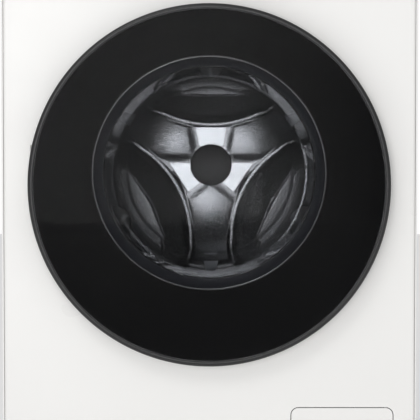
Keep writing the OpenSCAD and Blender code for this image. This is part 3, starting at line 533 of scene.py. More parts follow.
def door_ring():
    """Dark bezel round the glass, with a fine groove, and cut away for the hinge and the fingers."""
    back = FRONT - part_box("door_ring")[1].y
    inner = DOOR_R - 7 * MM
    seat_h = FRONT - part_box("door_cover")[1].y
    profile = [(DOOR_R - 3.5 * MM, -back), (DOOR_R - 3.5 * MM, -seat_h + 3.4 * MM),
               (DOOR_R - 13 * MM, -seat_h + 3.4 * MM), (DOOR_R - 13 * MM, -seat_h), (inner, -seat_h)]
    profile += curve_points(inner + 1 * MM, -RIM_H + 1 * MM, 1 * MM, 180, 270, 4)
    groove_h = 1.2 * MM
    for from_edge, sunk in ((5.3, 0), (4.9, groove_h), (4.0, groove_h), (3.6, 0)):
        profile.append((DOOR_R - from_edge * MM, -RIM_H + sunk))
    profile += curve_points(DOOR_R - 4 * MM, -RIM_H + 4 * MM, 4 * MM, 280, 360, 8)
    profile += [(DOOR_R, -back - 1 * MM), (DOOR_R - 1 * MM, -back)]
    ring = turned("door_bezel", profile, DOOR, FINISH["ring_grey"], "door", ["door_ring"], 240)
    beyond = DOOR_R + 5 * MM
    pocket_half = 48 * MM
    pocket_h = 26.6 * MM
    pocket = block_mesh(DOOR[0] - beyond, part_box("door_hinge")[1].x + 4 * MM, FRONT - pocket_h, FRONT,
                        AXIS[1] - pocket_half, AXIS[1] + pocket_half)
    grip_half = 62 * MM
    grip_w = 35 * MM
    grip = block_mesh(DOOR_R - grip_w, beyond, FRONT - seat_h + 8 * MM, FRONT,
                      DOOR[1] - grip_half, DOOR[1] + grip_half)
    cut(ring, [pocket, grip])


def glass_height(r):
    """How far the outside of the domed glass stands in front of the front panel at radius r."""
    sag = 7.5 * MM
    return GLASS_CROWN - sag * (r / GLASS_R) ** 2


def door_glass():
    """Domed smoked glass, and the black print behind it that leaves the window clear."""
    wall = 4 * MM
    steps = 28
    edge = 0.8 * MM
    radii = [(GLASS_R - edge) * i / steps for i in range(steps + 1)]
    front = [(r, -glass_height(r)) for r in radii]
    side = [(GLASS_R, -glass_height(GLASS_R) + edge), (GLASS_R, -glass_height(GLASS_R) + wall - edge)]
    back = [(r, -glass_height(r) + wall) for r in reversed(radii)]
    glass_piece = turned("smoked_glass", front + side + back, DOOR, FINISH["cover_glass"], "door",
                         ["door_cover"], 240)
    glass_piece.visible_shadow = False
    gap = 0.05 * MM
    print_t = 0.25 * MM
    verts = []
    faces = []
    spokes = 240
    rows = 14
    for layer in (0, 1):
        for i in range(spokes):
            angle = 2 * math.pi * i / spokes
            inner = Vector((AXIS[0] + WINDOW_R * math.sin(angle), AXIS[1] + WINDOW_R * math.cos(angle)))
            outer = Vector((DOOR[0] + (GLASS_R - 1 * MM) * math.sin(angle),
                            DOOR[1] + (GLASS_R - 1 * MM) * math.cos(angle)))
            for k in range(rows + 1):
                x, z = inner.lerp(outer, k / rows)
                r = math.hypot(x - DOOR[0], z - DOOR[1])
                verts.append((x, FRONT - glass_height(r) + wall + gap + print_t * layer, z))
    ring = spokes * (rows + 1)
    for i in range(spokes):
        j = (i + 1) % spokes
        a = i * (rows + 1)
        b = j * (rows + 1)
        for k in range(rows):
            faces.append((a + k, a + k + 1, b + k + 1, b + k))
            faces.append((ring + a + k, ring + b + k, ring + b + k + 1, ring + a + k + 1))
        for k in (0, rows):
            faces.append((a + k, b + k, ring + b + k, ring + a + k))
    mask = add_piece("black_print", verts, faces, FINISH["glass_print"], "door")


def glass_bowl():
    """Pressed glass bowl: a flange, a tapering wall with faint steps, and a domed end."""
    low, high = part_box("door_bowl")
    deep = high.y - FRONT
    flange_r = (high.z - low.z) / 2
    wall = 5 * MM
    lip = 7 * MM
    rim_r = 156 * MM
    slope = 0.26
    turn = 26 * MM
    turn_start = 12
    turn_end = 76
    base_r = rim_r - slope * (deep - turn)
    crown_h = 13 * MM
    arc_d = deep - crown_h - turn * math.sin(math.radians(turn_end))
    profile = [(rim_r - wall, -lip - wall)]
    profile += curve_points(flange_r - 2 * MM, -lip - wall + 2 * MM, 2 * MM, -90, 0, 4)
    profile += curve_points(flange_r - 1 * MM, -lip - 1 * MM, 1 * MM, 0, 90, 3)
    profile += curve_points(rim_r + 3 * MM, -lip + 3 * MM, 3 * MM, -90, -180, 4)
    profile += curve_points(base_r - turn, arc_d, turn, turn_start, turn_end, 14)
    shares = [i / 24 for i in range(1, 24)]
    shoulder_r, shoulder_d = profile[-1]
    profile += [(shoulder_r * (1 - t), deep - (deep - shoulder_d) * (1 - t) ** 2) for t in shares]
    profile += [(0, deep), (0, deep - wall)]
    inner_arc = curve_points(base_r - turn, arc_d, turn - wall, turn_end, turn_start, 14)
    inner_r, inner_d = inner_arc[0]
    profile += [(inner_r * t, deep - wall - (deep - wall - inner_d) * t ** 2) for t in shares]
    profile += inner_arc
    profile += [(rim_r - wall + 0.6 * MM, -lip + 4 * MM), (rim_r - wall, -lip)]
    bowl = turned("glass_bowl", profile, AXIS, FINISH["bowl_glass"], "door", ["door_bowl"], 240)
    bowl.visible_shadow = False


def window_trim():
    """Moulded ring between the window and the bowl, with a bright line round its outer edge."""
    outer = WINDOW_R - 0.2 * MM
    inner = 153 * MM
    d0 = -glass_height(outer) + 5 * MM
    profile = [(outer, d0), (outer, d0 + 6 * MM), (inner, -13.5 * MM), (inner, -15.5 * MM)]
    profile += [(inner + 3 * MM, -17 * MM), (outer - 4 * MM, d0 + 2.5 * MM), (outer - 2 * MM, d0)]
    trim = turned("window_trim", profile, AXIS, FINISH["slate_trim"], "door", (), 240)
    line = [(outer - 1.7 * MM + r, d0 - 0.3 * MM + d) for r, d in curve_points(0, 0, 0.7 * MM, 0, 315, 7)]
    bead = turned("window_bead", line, AXIS, FINISH["drum_steel"], "door", (), 240)


# ---------- drum

def smooth_step(t):
    """0 to 1 with a level start and a level end."""
    t = min(max(t, 0.0), 1.0)
    return t * t * (3 - 2 * t)


BAYS = [math.radians(a) for a in (90, 210, 330)]
LOBES = [(68 * MM * math.cos(math.radians(a)), 68 * MM * math.sin(math.radians(a))) for a in (30, 150, 270)]
FACE_H = 19.5 * MM
FACETS = [[(x * side * MM, z * MM) for x, z in corners]
          for side, corners in ((1, [(-20, 31), (20, 31), (25.5, 61.5), (-25.5, 61.5)]),
                                (-1, [(68.6, 3.6), (31, 3.6), (15, -27), (37.3, -44.5)]),
                                (1, [(68.6, 3.6), (31, 3.6), (15, -27), (37.3, -44.5)]))]


def outside(corners, x, z):
    """Distance of a point outside a convex outline, negative inside it."""
    cx = sum(c[0] for c in corners) / len(corners)
    cz = sum(c[1] for c in corners) / len(corners)
    furthest = -1.0
    for (x0, z0), (x1, z1) in zip(corners, corners[1:] + corners[:1]):
        length = math.hypot(x1 - x0, z1 - z0)
        nx = (z1 - z0) / length
        nz = (x0 - x1) / length
        if nx * (cx - x0) + nz * (cz - z0) > 0:
            nx, nz = -nx, -nz
        furthest = max(furthest, nx * (x - x0) + nz * (z - z0))
    return furthest


def lobe_height(x, z):
    """Three shallow domes that meet in a dish round the hub, above the plane of the facets."""
    crown_h = 3.6 * MM
    crown_r = 270 * MM
    fade = 16 * MM
    near = min(math.hypot(x - cx, z - cz) for cx, cz in LOBES)
    dome = crown_h - near ** 2 / (2 * crown_r)
    if dome < 0:
        return dome
    gap = min(outside(corners, x, z) for corners in FACETS)
    return dome * smooth_step(gap / fade) if gap > 0 else 0.0


def bay_height(depth):
    """A bay: a floor that slopes away, then the raised face of the boss behind the lifter."""
    floor_slope = 0.25
    boss_slope = 0.22
    boss_at = 50 * MM
    step_w = 5 * MM
    floor = 8 * MM - floor_slope * max(depth, 0)
    step = 7 * MM * smooth_step((depth - boss_at) / step_w)
    return floor + step + boss_slope * max(depth - boss_at - step_w, 0)


def back_height(x, z):
    """How far the pressed drum back stands in front of its flat rim, x and z from the axis."""
    bay_r = 175 * MM
    bay_reach = 241 * MM
    wall_w = 13 * MM
    bead_h = 1.2 * MM
    bead_r = 14 * MM
    bead_half = 3.5 * MM
    bead_fade = 5 * MM
    rim_start = 196 * MM
    rim_fade = 40 * MM
    r = math.hypot(x, z)
    into_bay = -1.0
    for a in BAYS:
        along = x * math.cos(a) + z * math.sin(a)
        aside = abs(z * math.cos(a) - x * math.sin(a))
        into_bay = max(into_bay, bay_r - math.hypot(along - bay_reach, aside))
    edge = smooth_step((into_bay - 1 * MM) / wall_w)
    star = FACE_H + lobe_height(x, z)
    height = star * (1 - edge) + bay_height(into_bay) * edge
    bead = FACE_H + bead_h - into_bay ** 2 / (2 * bead_r)
    on_bead = 1 - smooth_step((abs(into_bay) - bead_half) / bead_fade)
    height += (bead - height) * on_bead
    return height * (1 - smooth_step((r - rim_start) / rim_fade))


def drum_back():
    """Pressed back of the drum, meshed finely where it is seen through the window."""
    under_cap = [4 * MM * k for k in range(1, 8)]
    in_window = [(30 + 1.1 * k) * MM for k in range(125)]
    inner = in_window[-1]
    radii = under_cap + in_window + [inner + (DRUM_R - inner) * k / 20 for k in range(1, 21)]
    spokes = 600
    verts = [(AXIS[0], FRONT + DRUM_BACK - FACE_H, AXIS[1])]
    faces = []
    for r in radii:
        for i in range(spokes):
            a = 2 * math.pi * i / spokes
            x = r * math.cos(a)
            z = r * math.sin(a)
            verts.append((AXIS[0] + x, FRONT + DRUM_BACK - back_height(x, z), AXIS[1] + z))
    for i in range(spokes):
        faces.append((0, 1 + i, 1 + (i + 1) % spokes))
    for k in range(len(radii) - 1):
        a = 1 + k * spokes
        b = a + spokes
        for i in range(spokes):
            j = (i + 1) % spokes
            faces.append((a + i, b + i, b + j, a + j))
    back = add_piece("pressed_drum_back", verts, faces, FINISH["drum_steel"], None)
    thicken(back, 1 * MM, 1 if back.data.polygons[0].normal.y > 0 else -1)
    back.data.set_sharp_from_angle(angle=math.radians(40))
    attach(back, "drum")
    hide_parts("drum_back")


def facet_plates():
    """Three polished flats round the hub, with eased edges."""
    parts = []
    back = DRUM_BACK - FACE_H
    for corners in FACETS:
        cx = sum(c[0] for c in corners) / len(corners)
        cz = sum(c[1] for c in corners) / len(corners)
        verts = []
        for inset, d in ((0, back + 0.1 * MM), (0, back - 0.25 * MM), (0.6 * MM, back - 0.45 * MM)):
            for x, z in corners:
                reach = math.hypot(x - cx, z - cz)
                share = 1 - inset / reach
                verts.append((AXIS[0] + cx + (x - cx) * share, FRONT + d, AXIS[1] + cz + (z - cz) * share))
        faces = [(0, 1, 2, 3), (8, 9, 10, 11)]
        for k in (0, 4):
            faces += [(k + i, k + (i + 1) % 4, k + 4 + (i + 1) % 4, k + 4 + i) for i in range(4)]
        parts.append((verts, faces))
    plates = add_piece("facet_plates", *merged(parts), FINISH["mirror_steel"], "drum", (), 8)


def hub_cap():
    """Satin cap over the shaft, with a shallow dish and a soft rim."""
    low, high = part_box("hub_cap")
    r = (high.z - low.z) / 2
    d0, d1 = depths("hub_cap")
    profile = [(0, d0 + 1.0 * MM), (r * 0.3, d0 + 0.8 * MM), (r * 0.55, d0 + 0.2 * MM), (r * 0.68, d0)]
    profile += curve_points(r - 4.5 * MM, d0 + 5.2 * MM, 4.5 * MM, -68, 0, 8)
    profile += [(r, d1), (0, d1)]
    turned("hub_cover", profile, AXIS, FINISH["hub_grey"], "drum", ["hub_cap"], 120)


def perforated_wall():
    """The drum's wall: rows of round holes with drawn lips, and plain bands at the ends."""
    r = DRUM_R - 0.5 * MM
    mouth_r = 172 * MM
    mouth_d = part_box("drum_shell")[0].y - FRONT
    wall_d = mouth_d + 10 * MM
    columns = 96
    rows = 20
    pitch = (DRUM_BACK - wall_d - 12 * MM) / rows
    hole_r = 1.9 * MM
    lip_r = hole_r + 0.8 * MM
    lip_h = 0.5 * MM
    sides = 8
    around = [(1, 0), (1, 1), (0, 1), (-1, 1), (-1, 0), (-1, -1), (0, -1), (1, -1)]
    verts = []
    faces = []

    def point(angle, d, radius=r):
        verts.append((AXIS[0] + radius * math.sin(angle), FRONT + d, AXIS[1] + radius * math.cos(angle)))
        return len(verts) - 1

    turn = 2 * math.pi / columns
    for i in range(columns):
        for k in range(rows):
            a = turn * (i + 0.5)
            d = wall_d + 6 * MM + pitch * (k + 0.5)
            rim = [point(a + turn / 2 * u, d + pitch / 2 * v) for u, v in around]
            lip = []
            hole = []
            for m in range(sides):
                c = math.cos(2 * math.pi * m / sides)
                s = math.sin(2 * math.pi * m / sides)
                lip.append(point(a + lip_r * c / r, d + lip_r * s))
                hole.append(point(a + hole_r * c / r, d + hole_r * s, r + lip_h))
            for m in range(sides):
                n = (m + 1) % sides
                faces.append((rim[m], rim[n], lip[n], lip[m]))
                faces.append((lip[m], lip[n], hole[n], hole[m]))
    steps = columns * 2
    front_lip = [(mouth_r + 0.6 * MM, mouth_d), (mouth_r, mouth_d + 1 * MM), (mouth_r, wall_d - 4 * MM)]
    front_lip += curve_points(mouth_r + 4 * MM, wall_d - 4 * MM, 4 * MM, 180, 90, 5)
    front_lip += curve_points(r - 6 * MM, wall_d + 6 * MM, 6 * MM, -90, 0, 6)
    bands = turned_mesh(front_lip, AXIS, steps, closed=False)
    tail = turned_mesh([(r, DRUM_BACK - 6 * MM), (r, DRUM_BACK)], AXIS, steps, closed=False)
    wall = add_piece("perforated_wall", *merged([(verts, faces), bands, tail]), FINISH["stainless"],
                     None, (), 60)
    thicken(wall, 0.8 * MM)
    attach(wall, "drum")
    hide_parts("drum_shell")


def lifters():
    """Three pressed paddles with sloping ends and rounded crests."""
    d0, d1 = depths("lifters")
    crest_h = 60 * MM
    half = 42 * MM
    parts = []
    along_steps = 40
    across_steps = 20
    inside = DRUM_R - 1.2 * MM
    for a in BAYS:
        verts = []
        faces = []
        for k in range(along_steps + 1):
            t = k / along_steps
            d = d0 + (d1 - d0) * t
            rise = smooth_step(t / 0.16) * smooth_step((1 - t) / 0.06) ** 0.7
            for i in range(across_steps + 1):
                u = i / across_steps * 2 - 1
                bell = (1 - abs(u) ** 2.3) ** 1.35
                aside = half * u * (0.55 + 0.45 * abs(u)) * (0.75 + 0.25 * rise)
                r = math.sqrt(max(inside ** 2 - aside ** 2, 0)) - crest_h * rise * bell
                verts.append((AXIS[0] + r * math.cos(a) - aside * math.sin(a), FRONT + d,
                              AXIS[1] + r * math.sin(a) + aside * math.cos(a)))
        row = across_steps + 1
        for k in range(along_steps):
            for i in range(across_steps):
                faces.append((k * row + i, k * row + i + 1, (k + 1) * row + i + 1, (k + 1) * row + i))
        parts.append((verts, faces))
    paddles = add_piece("drum_paddles", *merged(parts), FINISH["lifter_steel"], None, (), 70)
    thicken(paddles, 1.2 * MM)
    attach(paddles, "drum")
    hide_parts("lifters")


# ---------- seals, hoses and springs

def door_seal():
    """Folded rubber between the cabinet's mouth and the tub's neck."""
    d0, d1 = depths("gasket")
    mouth = 181.6 * MM
    neck = 181.4 * MM
    profile = [(157 * MM, d0 + 10 * MM)]
    profile += curve_points(159.5 * MM, d0 + 2.5 * MM, 2.5 * MM, 200, 270, 4)
    profile += [(mouth - 3 * MM, d0), (mouth, d0 + 2 * MM), (mouth, 29 * MM)]
    profile += curve_points(173 * MM, 38 * MM, 3 * MM, 230, 130, 5)
    profile += curve_points(183 * MM, 48 * MM, 2.5 * MM, -60, 60, 5)
    inside = neck - 3 * MM
    profile += [(neck, 57 * MM), (neck, d1 - 3 * MM), (neck - 1 * MM, d1), (inside, d1), (inside, 55 * MM)]
    profile += curve_points(179 * MM, 48 * MM, 2 * MM, 60, -60, 5)
    profile += curve_points(170.5 * MM, 38 * MM, 3 * MM, 130, 230, 5)
    profile += [(178 * MM, 27 * MM), (178 * MM, d0 + 5 * MM), (165 * MM, d0 + 4 * MM)]
    profile += [(161 * MM, d0 + 10 * MM), (159 * MM, d0 + 11 * MM)]
    seal = turned("door_seal", profile, AXIS, FINISH["grey_rubber"], None, ["gasket"], 180)
    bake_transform(seal)


def coil_springs():
    """Two tension springs of round wire with hooked ends, from the cabinet down to the tub."""
    low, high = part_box("suspension_springs")
    wire = 1.8 * MM
    coil_r = 11.2 * MM
    turns = 16
    hook_r = 6.5 * MM
    hook_turn = 240
    hook_steps = 12
    z0 = low.z + hook_r + wire
    z1 = high.z - hook_r - wire
    y = (low.y + high.y) / 2
    shank = 20 * MM
    coil_h = z1 - z0 - 2 * shank
    per_turn = 20
    steps = turns * per_turn
    parts = []
    for side in (-1, 1):
        x = side * (high.x - 13 * MM)
        lower = curve_points(x, z0, hook_r, -hook_turn, 0, hook_steps)
        upper = curve_points(x, z1, hook_r, 0, hook_turn, hook_steps)
        points = [(px, y, pz) for px, pz in lower]
        for i in range(steps + 1):
            a = 2 * math.pi * i / per_turn
            r = coil_r * min(1.0, i / hook_steps, (steps - i) / hook_steps)
            points.append((x + r * math.cos(a), y + r * math.sin(a), z0 + shank + coil_h * i / steps))
        points += [(px, y, pz) for px, pz in upper]
        parts.append(swept_mesh(points, [wire] * len(points), 10))
    springs = add_piece("coil_springs", *merged(parts), FINISH["zinc_steel"], None,
                        ["suspension_springs"], 60)
    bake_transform(springs)


def bellows_profile(r_in, r_out, z0, z1, folds):
    """Folded hose wall between two heights, with a plain cuff at each end."""
    wall = 1.8 * MM
    cuff = 5 * MM
    outer = [(r_in + wall, z0), (r_in + wall, z0 + cuff)]
    steps = folds * 10
    for i in range(1, steps):
        swell = (r_out - r_in - wall) * (0.5 - 0.5 * math.cos(2 * math.pi * folds * i / steps))
        outer.append((r_in + wall + swell, z0 + cuff + (z1 - z0 - 2 * cuff) * i / steps))
    outer += [(r_in + wall, z1 - cuff), (r_in + wall, z1)]
    return outer + [(r - wall, z) for r, z in reversed(outer)]


def dispenser_bellows():
    """Bellows between the dispenser and the tub."""
    low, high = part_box("dispenser_hose")
    spot = middle("dispenser_hose")
    profile = bellows_profile(15.4 * MM, high.x - spot.x, low.z, high.z, 3)
    hose = add_piece("dispenser_bellows", *upright_mesh(profile, spot.x, spot.y),
                     FINISH["black_rubber"], None, ["dispenser_hose"], 60)
    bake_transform(hose)


def sump_bellows():
    """Bellows under the tub, a bend, and a cuff on the pump's inlet."""
    low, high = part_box("sump_hose")
    r_in = 20.4 * MM
    r_out = (high.y - low.y) / 2
    x = low.x + r_out
    y = (low.y + high.y) / 2
    bend = 34 * MM
    z_pipe = low.z + r_in + 2.5 * MM
    upright = upright_mesh(bellows_profile(r_in, r_out, z_pipe + bend, high.z, 3), x, y)
    steps = 12
    points = []
    for i in range(steps + 1):
        a = math.pi / 2 * i / steps
        points.append((x + bend * (1 - math.cos(a)), y, z_pipe + bend * (1 - math.sin(a))))
    bend_end = points[-1][0]
    points += [(bend_end + (high.x - bend_end) * i / steps, y, z_pipe) for i in range(1, steps + 1)]
    radii = [r_in + 2.4 * MM] * len(points)
    for groove in (16, 19):
        radii[groove] -= 0.5 * MM
    hose = add_piece("sump_bellows", *merged([upright, swept_mesh(points, radii, 32)]),
                     FINISH["black_rubber"], None, ["sump_hose"], 60)
    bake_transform(hose)


# ---------- worktop, controls and feet

def worktop():
    """Laminated top with rounded edges and a shadow groove under its rim."""
    low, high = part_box("top_plate")
    corner_r = 6 * MM
    edge_r = 3 * MM
    spot = middle("top_plate")
    outline = rounded_outline(high.x - low.x, high.y - low.y, corner_r, (spot.x, spot.y))
    rim = [(3, 0), (0.6, 0), (0, 0.8), (0, 3.5), (0.5, 3.8), (0.5, 4.3), (0, 4.6)]
    levels = [(inset * MM, low.z + z * MM) for inset, z in rim]
    levels += [(edge_r - r, high.z - edge_r + z) for r, z in curve_points(0, 0, edge_r, 0, 90, 6)]
    add_piece("worktop", *stack_mesh(outline, levels), FINISH["worktop_laminate"], "cabinet",
              ["top_plate"], 30)


def side_edges():
    """The rolled front edge of each side panel, which closes the gap beside the front panel."""
    panel_low, panel_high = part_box("front_panel")
    gap = 0.12 * MM
    proud = 2.2 * MM
    bevel = 0.6 * MM
    parts = []
    for node in ("side_panel_left", "side_panel_right"):
        low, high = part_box(node)
        on_left = node.endswith("left")
        x0 = low.x if on_left else panel_high.x + gap
        x1 = panel_low.x - gap if on_left else high.x
        spot = ((x0 + x1) / 2, low.y - proud / 2)
        outline = rounded_outline(x1 - x0, proud, 0.8 * MM, spot, 5)
        levels = [(bevel, low.z), (0, low.z + bevel), (0, high.z - bevel), (bevel, high.z)]
        parts.append(stack_mesh(outline, levels))
    edges = add_piece("side_edges", *merged(parts), FINISH["white_enamel"], "cabinet", (), 40)


def dial():
    """Turned dial: a dished face, a fluted grip, a skirt, and its spindle."""
    low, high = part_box("program_dial")
    cx = (low.x + high.x) / 2
    cz = (low.z + high.z) / 2
    skirt_w = 1.5 * MM
    r = (high.x - low.x) / 2 - skirt_w
    d0, d1 = depths("program_dial")
    profile = [(0, d0 + 1.4 * MM), (r - 9 * MM, d0 + 1.2 * MM), (r - 6.5 * MM, d0 + 0.5 * MM)]
    profile += [(r - 5 * MM, d0)]
    profile += curve_points(r - 3 * MM, d0 + 3 * MM, 3 * MM, -90, -8, 6)
    grip_start = len(profile)
    profile += [(r + 0.1 * MM, d0 + 5 * MM), (r + 0.4 * MM, d0 + 8 * MM), (r + 0.7 * MM, d0 + 11.5 * MM)]
    grip_end = len(profile)
    profile += [(r + 0.9 * MM, d0 + 12.5 * MM), (r + skirt_w, d0 + 14 * MM), (r + skirt_w, d0 + 17.2 * MM)]
    behind = d0 + 17.5 * MM
    boss_r = 5 * MM
    spindle_r = 3 * MM
    step = 6 * MM
    profile += [(r, behind), (boss_r, behind), (boss_r, step), (spindle_r, step), (spindle_r, d1), (0, d1)]
    flutes = 56
    flute_h = 0.7 * MM
    per_flute = 4
    steps = flutes * per_flute
    verts, faces = turned_mesh(profile, (cx, cz), steps)
    count = len(profile)
    for i in range(0, steps, per_flute):
        for k in range(grip_start, grip_end):
            x, y, z = verts[i * count + k]
            share = 1 - flute_h / profile[k][0]
            verts[i * count + k] = (cx + (x - cx) * share, y, cz + (z - cz) * share)
    add_piece("fluted_dial", verts, faces, FINISH["dial_metal"], "dial", ["program_dial"], 30)
    mark = rounded_outline(2 * MM, 8 * MM, 0.9 * MM, (cx, cz + r - 13 * MM))
    pointer = add_piece("dial_pointer", *plate_mesh(mark, d0 + 0.8 * MM, d0 + 1.6 * MM, 0.3 * MM),
                        FINISH["black_plastic"], "dial")


PRINTED = (-0.12 * MM, 0.05 * MM)
SEGMENTS = {"1": "bc", "4": "fgbc", "5": "afgcd"}


def panel_marks():
    """Ticks round the dial and one by each button."""
    cx = middle("program_dial").x
    cz = middle("program_dial").z
    reach = 39 * MM
    ticks = 12
    parts = []
    for i in range(ticks):
        c = math.cos(2 * math.pi * i / ticks)
        s = math.sin(2 * math.pi * i / ticks)
        length = 5 * MM if i % 3 == 0 else 3 * MM
        tick = rounded_outline(1.2 * MM, length, 0.55 * MM, (0, reach), 4)
        parts.append(plate_mesh([(cx + z * s + x * c, cz + z * c - x * s) for x, z in tick], *PRINTED))
    for node in ("power_button", "start_button"):
        spot = middle(node)
        dash = rounded_outline(5 * MM, 0.9 * MM, 0.4 * MM, (spot.x + 16.5 * MM, spot.z))
        parts.append(plate_mesh(dash, *PRINTED))
    marks = add_piece("panel_marks", *merged(parts), FINISH["slate_trim"], "cabinet")


def display_digits():
    """A time in seven-segment digits, shown through the display window."""
    cx = middle("display_window").x
    cz = middle("display_window").z
    layer = [depths("display_window")[0] + d for d in PRINTED]
    w = 4.2 * MM
    h = 7.5 * MM
    stroke = 1.5 * MM
    places = {"a": (0, h, 1), "g": (0, 0, 1), "d": (0, -h, 1), "b": (w, h / 2, 0), "c": (w, -h / 2, 0),
              "f": (-w, h / 2, 0)}
    parts = []
    for digit, at in (("1", -22), ("4", 2), ("5", 18)):
        for name in SEGMENTS[digit]:
            x, z, level = places[name]
            size = (2 * w - stroke, stroke) if level else (stroke, h - stroke)
            bar = rounded_outline(size[0], size[1], 0.6 * MM, (cx + at * MM + x, cz + z), 3)
            parts.append(plate_mesh(bar, *layer))
    for z in (-3.5, 3.5):
        dot = rounded_outline(1.8 * MM, 1.8 * MM, 0.85 * MM, (cx - 9 * MM, cz + z * MM), 4)
        parts.append(plate_mesh(dot, *layer))
    digits = add_piece("display_digits", *merged(parts), FINISH["display_light"], "cabinet")


def push_buttons():
    """Two metal keys with a dished face and a turned edge."""
    for node, body in (("power_button", "power_key"), ("start_button", "start_key")):
        low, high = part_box(node)
        d0, d1 = depths(node)
        flange_r = (high.x - low.x) / 2
        flange_d = d0 + 7 * MM
        flange_end = d0 + 8.4 * MM
        r = flange_r - 1.4 * MM
        edge = 0.9 * MM
        stem_r = 2.5 * MM
        profile = [(0, d0 + 0.8 * MM), (r * 0.45, d0 + 0.65 * MM), (r - 1.6 * MM, d0 + 0.2 * MM)]
        profile += curve_points(r - edge, d0 + edge, edge, -90, 0, 5)
        profile += [(r, flange_d), (flange_r, flange_d), (flange_r, flange_end), (stem_r, flange_end)]
        profile += [(stem_r, d1), (0, d1)]
        centre = (middle(node).x, middle(node).z)
        turned(node.replace("button", "key_cap"), profile, centre, FINISH["dial_metal"], body, [node], 72,
               sharp=30)


def levelling_feet():
    """Four threaded studs with a hexagon to turn them by, each on a ribbed rubber pad."""
    nut_r = 10.8 * MM
    bevel = 0.9 * MM
    for end in ("front", "back"):
        for side in ("left", "right"):
            place = end + "_" + side
            node = "foot_" + place
            body = "level_" + place
            low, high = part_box(node)
            x = (low.x + high.x) / 2
            y = (low.y + high.y) / 2
            r = (high.x - low.x) / 2
            z = 7 * MM
            pitch = 1.4 * MM
            thread = [(0, z)]
            while z < high.z - 2.5 * MM:
                thread += [(4.95 * MM, z), (4.4 * MM, z + pitch / 2)]
                z += pitch
            thread += [(4.2 * MM, high.z - 0.8 * MM), (3.4 * MM, high.z), (0, high.z)]
            hexagon = [(x + nut_r * math.cos(math.pi / 3 * i), y + nut_r * math.sin(math.pi / 3 * i))
                       for i in range(6)]
            nut = stack_mesh(hexagon, [(bevel, 8.6 * MM), (0, 9.4 * MM), (0, 12.3 * MM), (bevel, 13 * MM)])
            add_piece("stud_" + place, *merged([upright_mesh(thread, x, y, 32), nut]),
                      FINISH["zinc_steel"], body, [node], 40)
            pad = [(0, 0.8 * MM), (r * 0.35, 0.8 * MM), (r * 0.4, 0), (r * 0.6, 0), (r * 0.65, 0.8 * MM),
                   (r * 0.75, 0.8 * MM), (r * 0.8, 0), (r - 1 * MM, 0), (r, 1 * MM), (r, 2.6 * MM),
                   (r - 0.6 * MM, 3 * MM), (r - 0.6 * MM, 3.6 * MM), (r, 4 * MM), (r, 5.4 * MM),
                   (r - 1.2 * MM, 6.6 * MM), (12.2 * MM, 9 * MM), (0, 9 * MM)]
            rubber_pad = add_piece("pad_" + place, *upright_mesh(pad, x, y, 64),
                                   FINISH["black_rubber"], body)


# ---------- stage, lights and camera

def studio():
    """Pale floor, soft light from all round, and white behind the machine."""
    floor_r = 6.0
    white = (1.0, 1.0, 1.0, 1.0)
    daylight = 0.45
    verts = [(-floor_r, -floor_r, 0), (floor_r, -floor_r, 0), (floor_r, floor_r, 0), (-floor_r, floor_r, 0)]
    f = Finish("studio_floor", Roughness=0.7, Emission_Color=white, Emission_Strength=0.3)
    f.tint("Base Color", f.noise(2, 2), (0.3, srgb(238, 238, 238)), (0.7, srgb(244, 244, 244)))
    floor = mesh_object("studio_floor", verts, [(0, 1, 2, 3)])
    floor.data.materials.append(f.material)
    world = bpy.data.worlds.new("studio")
    world.use_nodes = True
    nodes = world.node_tree.nodes
    links = world.node_tree.links
    lit = nodes["Background"]
    lit.inputs["Color"].default_value = white
    lit.inputs["Strength"].default_value = daylight
    seen = nodes.new("ShaderNodeBackground")
    seen.inputs["Color"].default_value = white
    seen.inputs["Strength"].default_value = 1.0
    choice = nodes.new("ShaderNodeMixShader")
    links.new(nodes.new("ShaderNodeLightPath").outputs["Is Camera Ray"], choice.inputs[0])
    links.new(lit.outputs["Background"], choice.inputs[1])
    links.new(seen.outputs["Background"], choice.inputs[2])
    links.new(choice.outputs["Shader"], nodes["World Output"].inputs["Surface"])
    bpy.context.scene.world = world
    bpy.context.scene.view_settings.view_transform = "Standard"


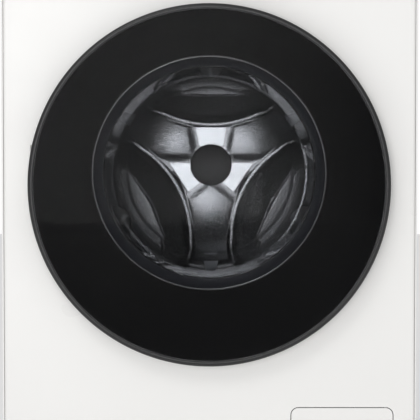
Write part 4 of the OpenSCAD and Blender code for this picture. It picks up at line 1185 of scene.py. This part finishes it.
def soft_light(name, place, target, size, power):
    """A rectangular softbox that faces its target."""
    lamp = bpy.data.lights.new(name, "AREA")
    lamp.shape = "RECTANGLE"
    lamp.size, lamp.size_y = size
    lamp.energy = power
    holder = bpy.data.objects.new(name, lamp)
    holder.location = place
    holder.rotation_euler = (Vector(target) - Vector(place)).to_track_quat("-Z", "Y").to_euler()
    bpy.context.scene.collection.objects.link(holder)


def softboxes():
    """A wide softbox in front, whose right-hand edge fades out over strips, and a smaller high one."""
    left = -1.35
    full_w = 1.5
    height = 1.4
    glow = 17.3
    strips = 7
    strip_w = 0.12
    place_y = FRONT - 4.2
    place_z = 0.75
    target_z = 0.5
    x = left + full_w / 2
    soft_light("front_softbox", (x, place_y, place_z), (x, FRONT, target_z), (full_w, height),
               glow * full_w * height)
    for i in range(strips):
        x = left + full_w + strip_w * (i + 0.5)
        share = 1 - (i + 1) / (strips + 1)
        soft_light("softbox_fade_" + str(i), (x, place_y, place_z), (x, FRONT, target_z), (strip_w, height),
                   glow * strip_w * height * share)
    key_size = 1.2
    key_power = 14
    soft_light("key_softbox", (-0.8, FRONT - 2.4, 2.4), (0, FRONT, 0.45), (key_size, key_size), key_power)


def camera():
    """Straight on to the front and slightly above the middle of the door."""
    eye = Vector((0.021, FRONT - 3.0, 0.56))
    target = Vector((0.001, FRONT, 0.4136))
    view_w = 0.6068
    sensor = 36.0
    lens = bpy.data.cameras.new("camera")
    lens.sensor_width = sensor
    lens.lens = sensor * (target - eye).length / view_w
    holder = bpy.data.objects.new("camera", lens)
    holder.location = eye
    holder.rotation_euler = (target - eye).to_track_quat("-Z", "Y").to_euler()
    bpy.context.scene.collection.objects.link(holder)
    bpy.context.scene.camera = holder


camera()
studio()
softboxes()
door_ring()
door_glass()
glass_bowl()
window_trim()
drum_back()
facet_plates()
hub_cap()
perforated_wall()
lifters()
door_seal()
coil_springs()
dispenser_bellows()
sump_bellows()
worktop()
side_edges()
dial()
panel_marks()
display_digits()
push_buttons()
levelling_feet()
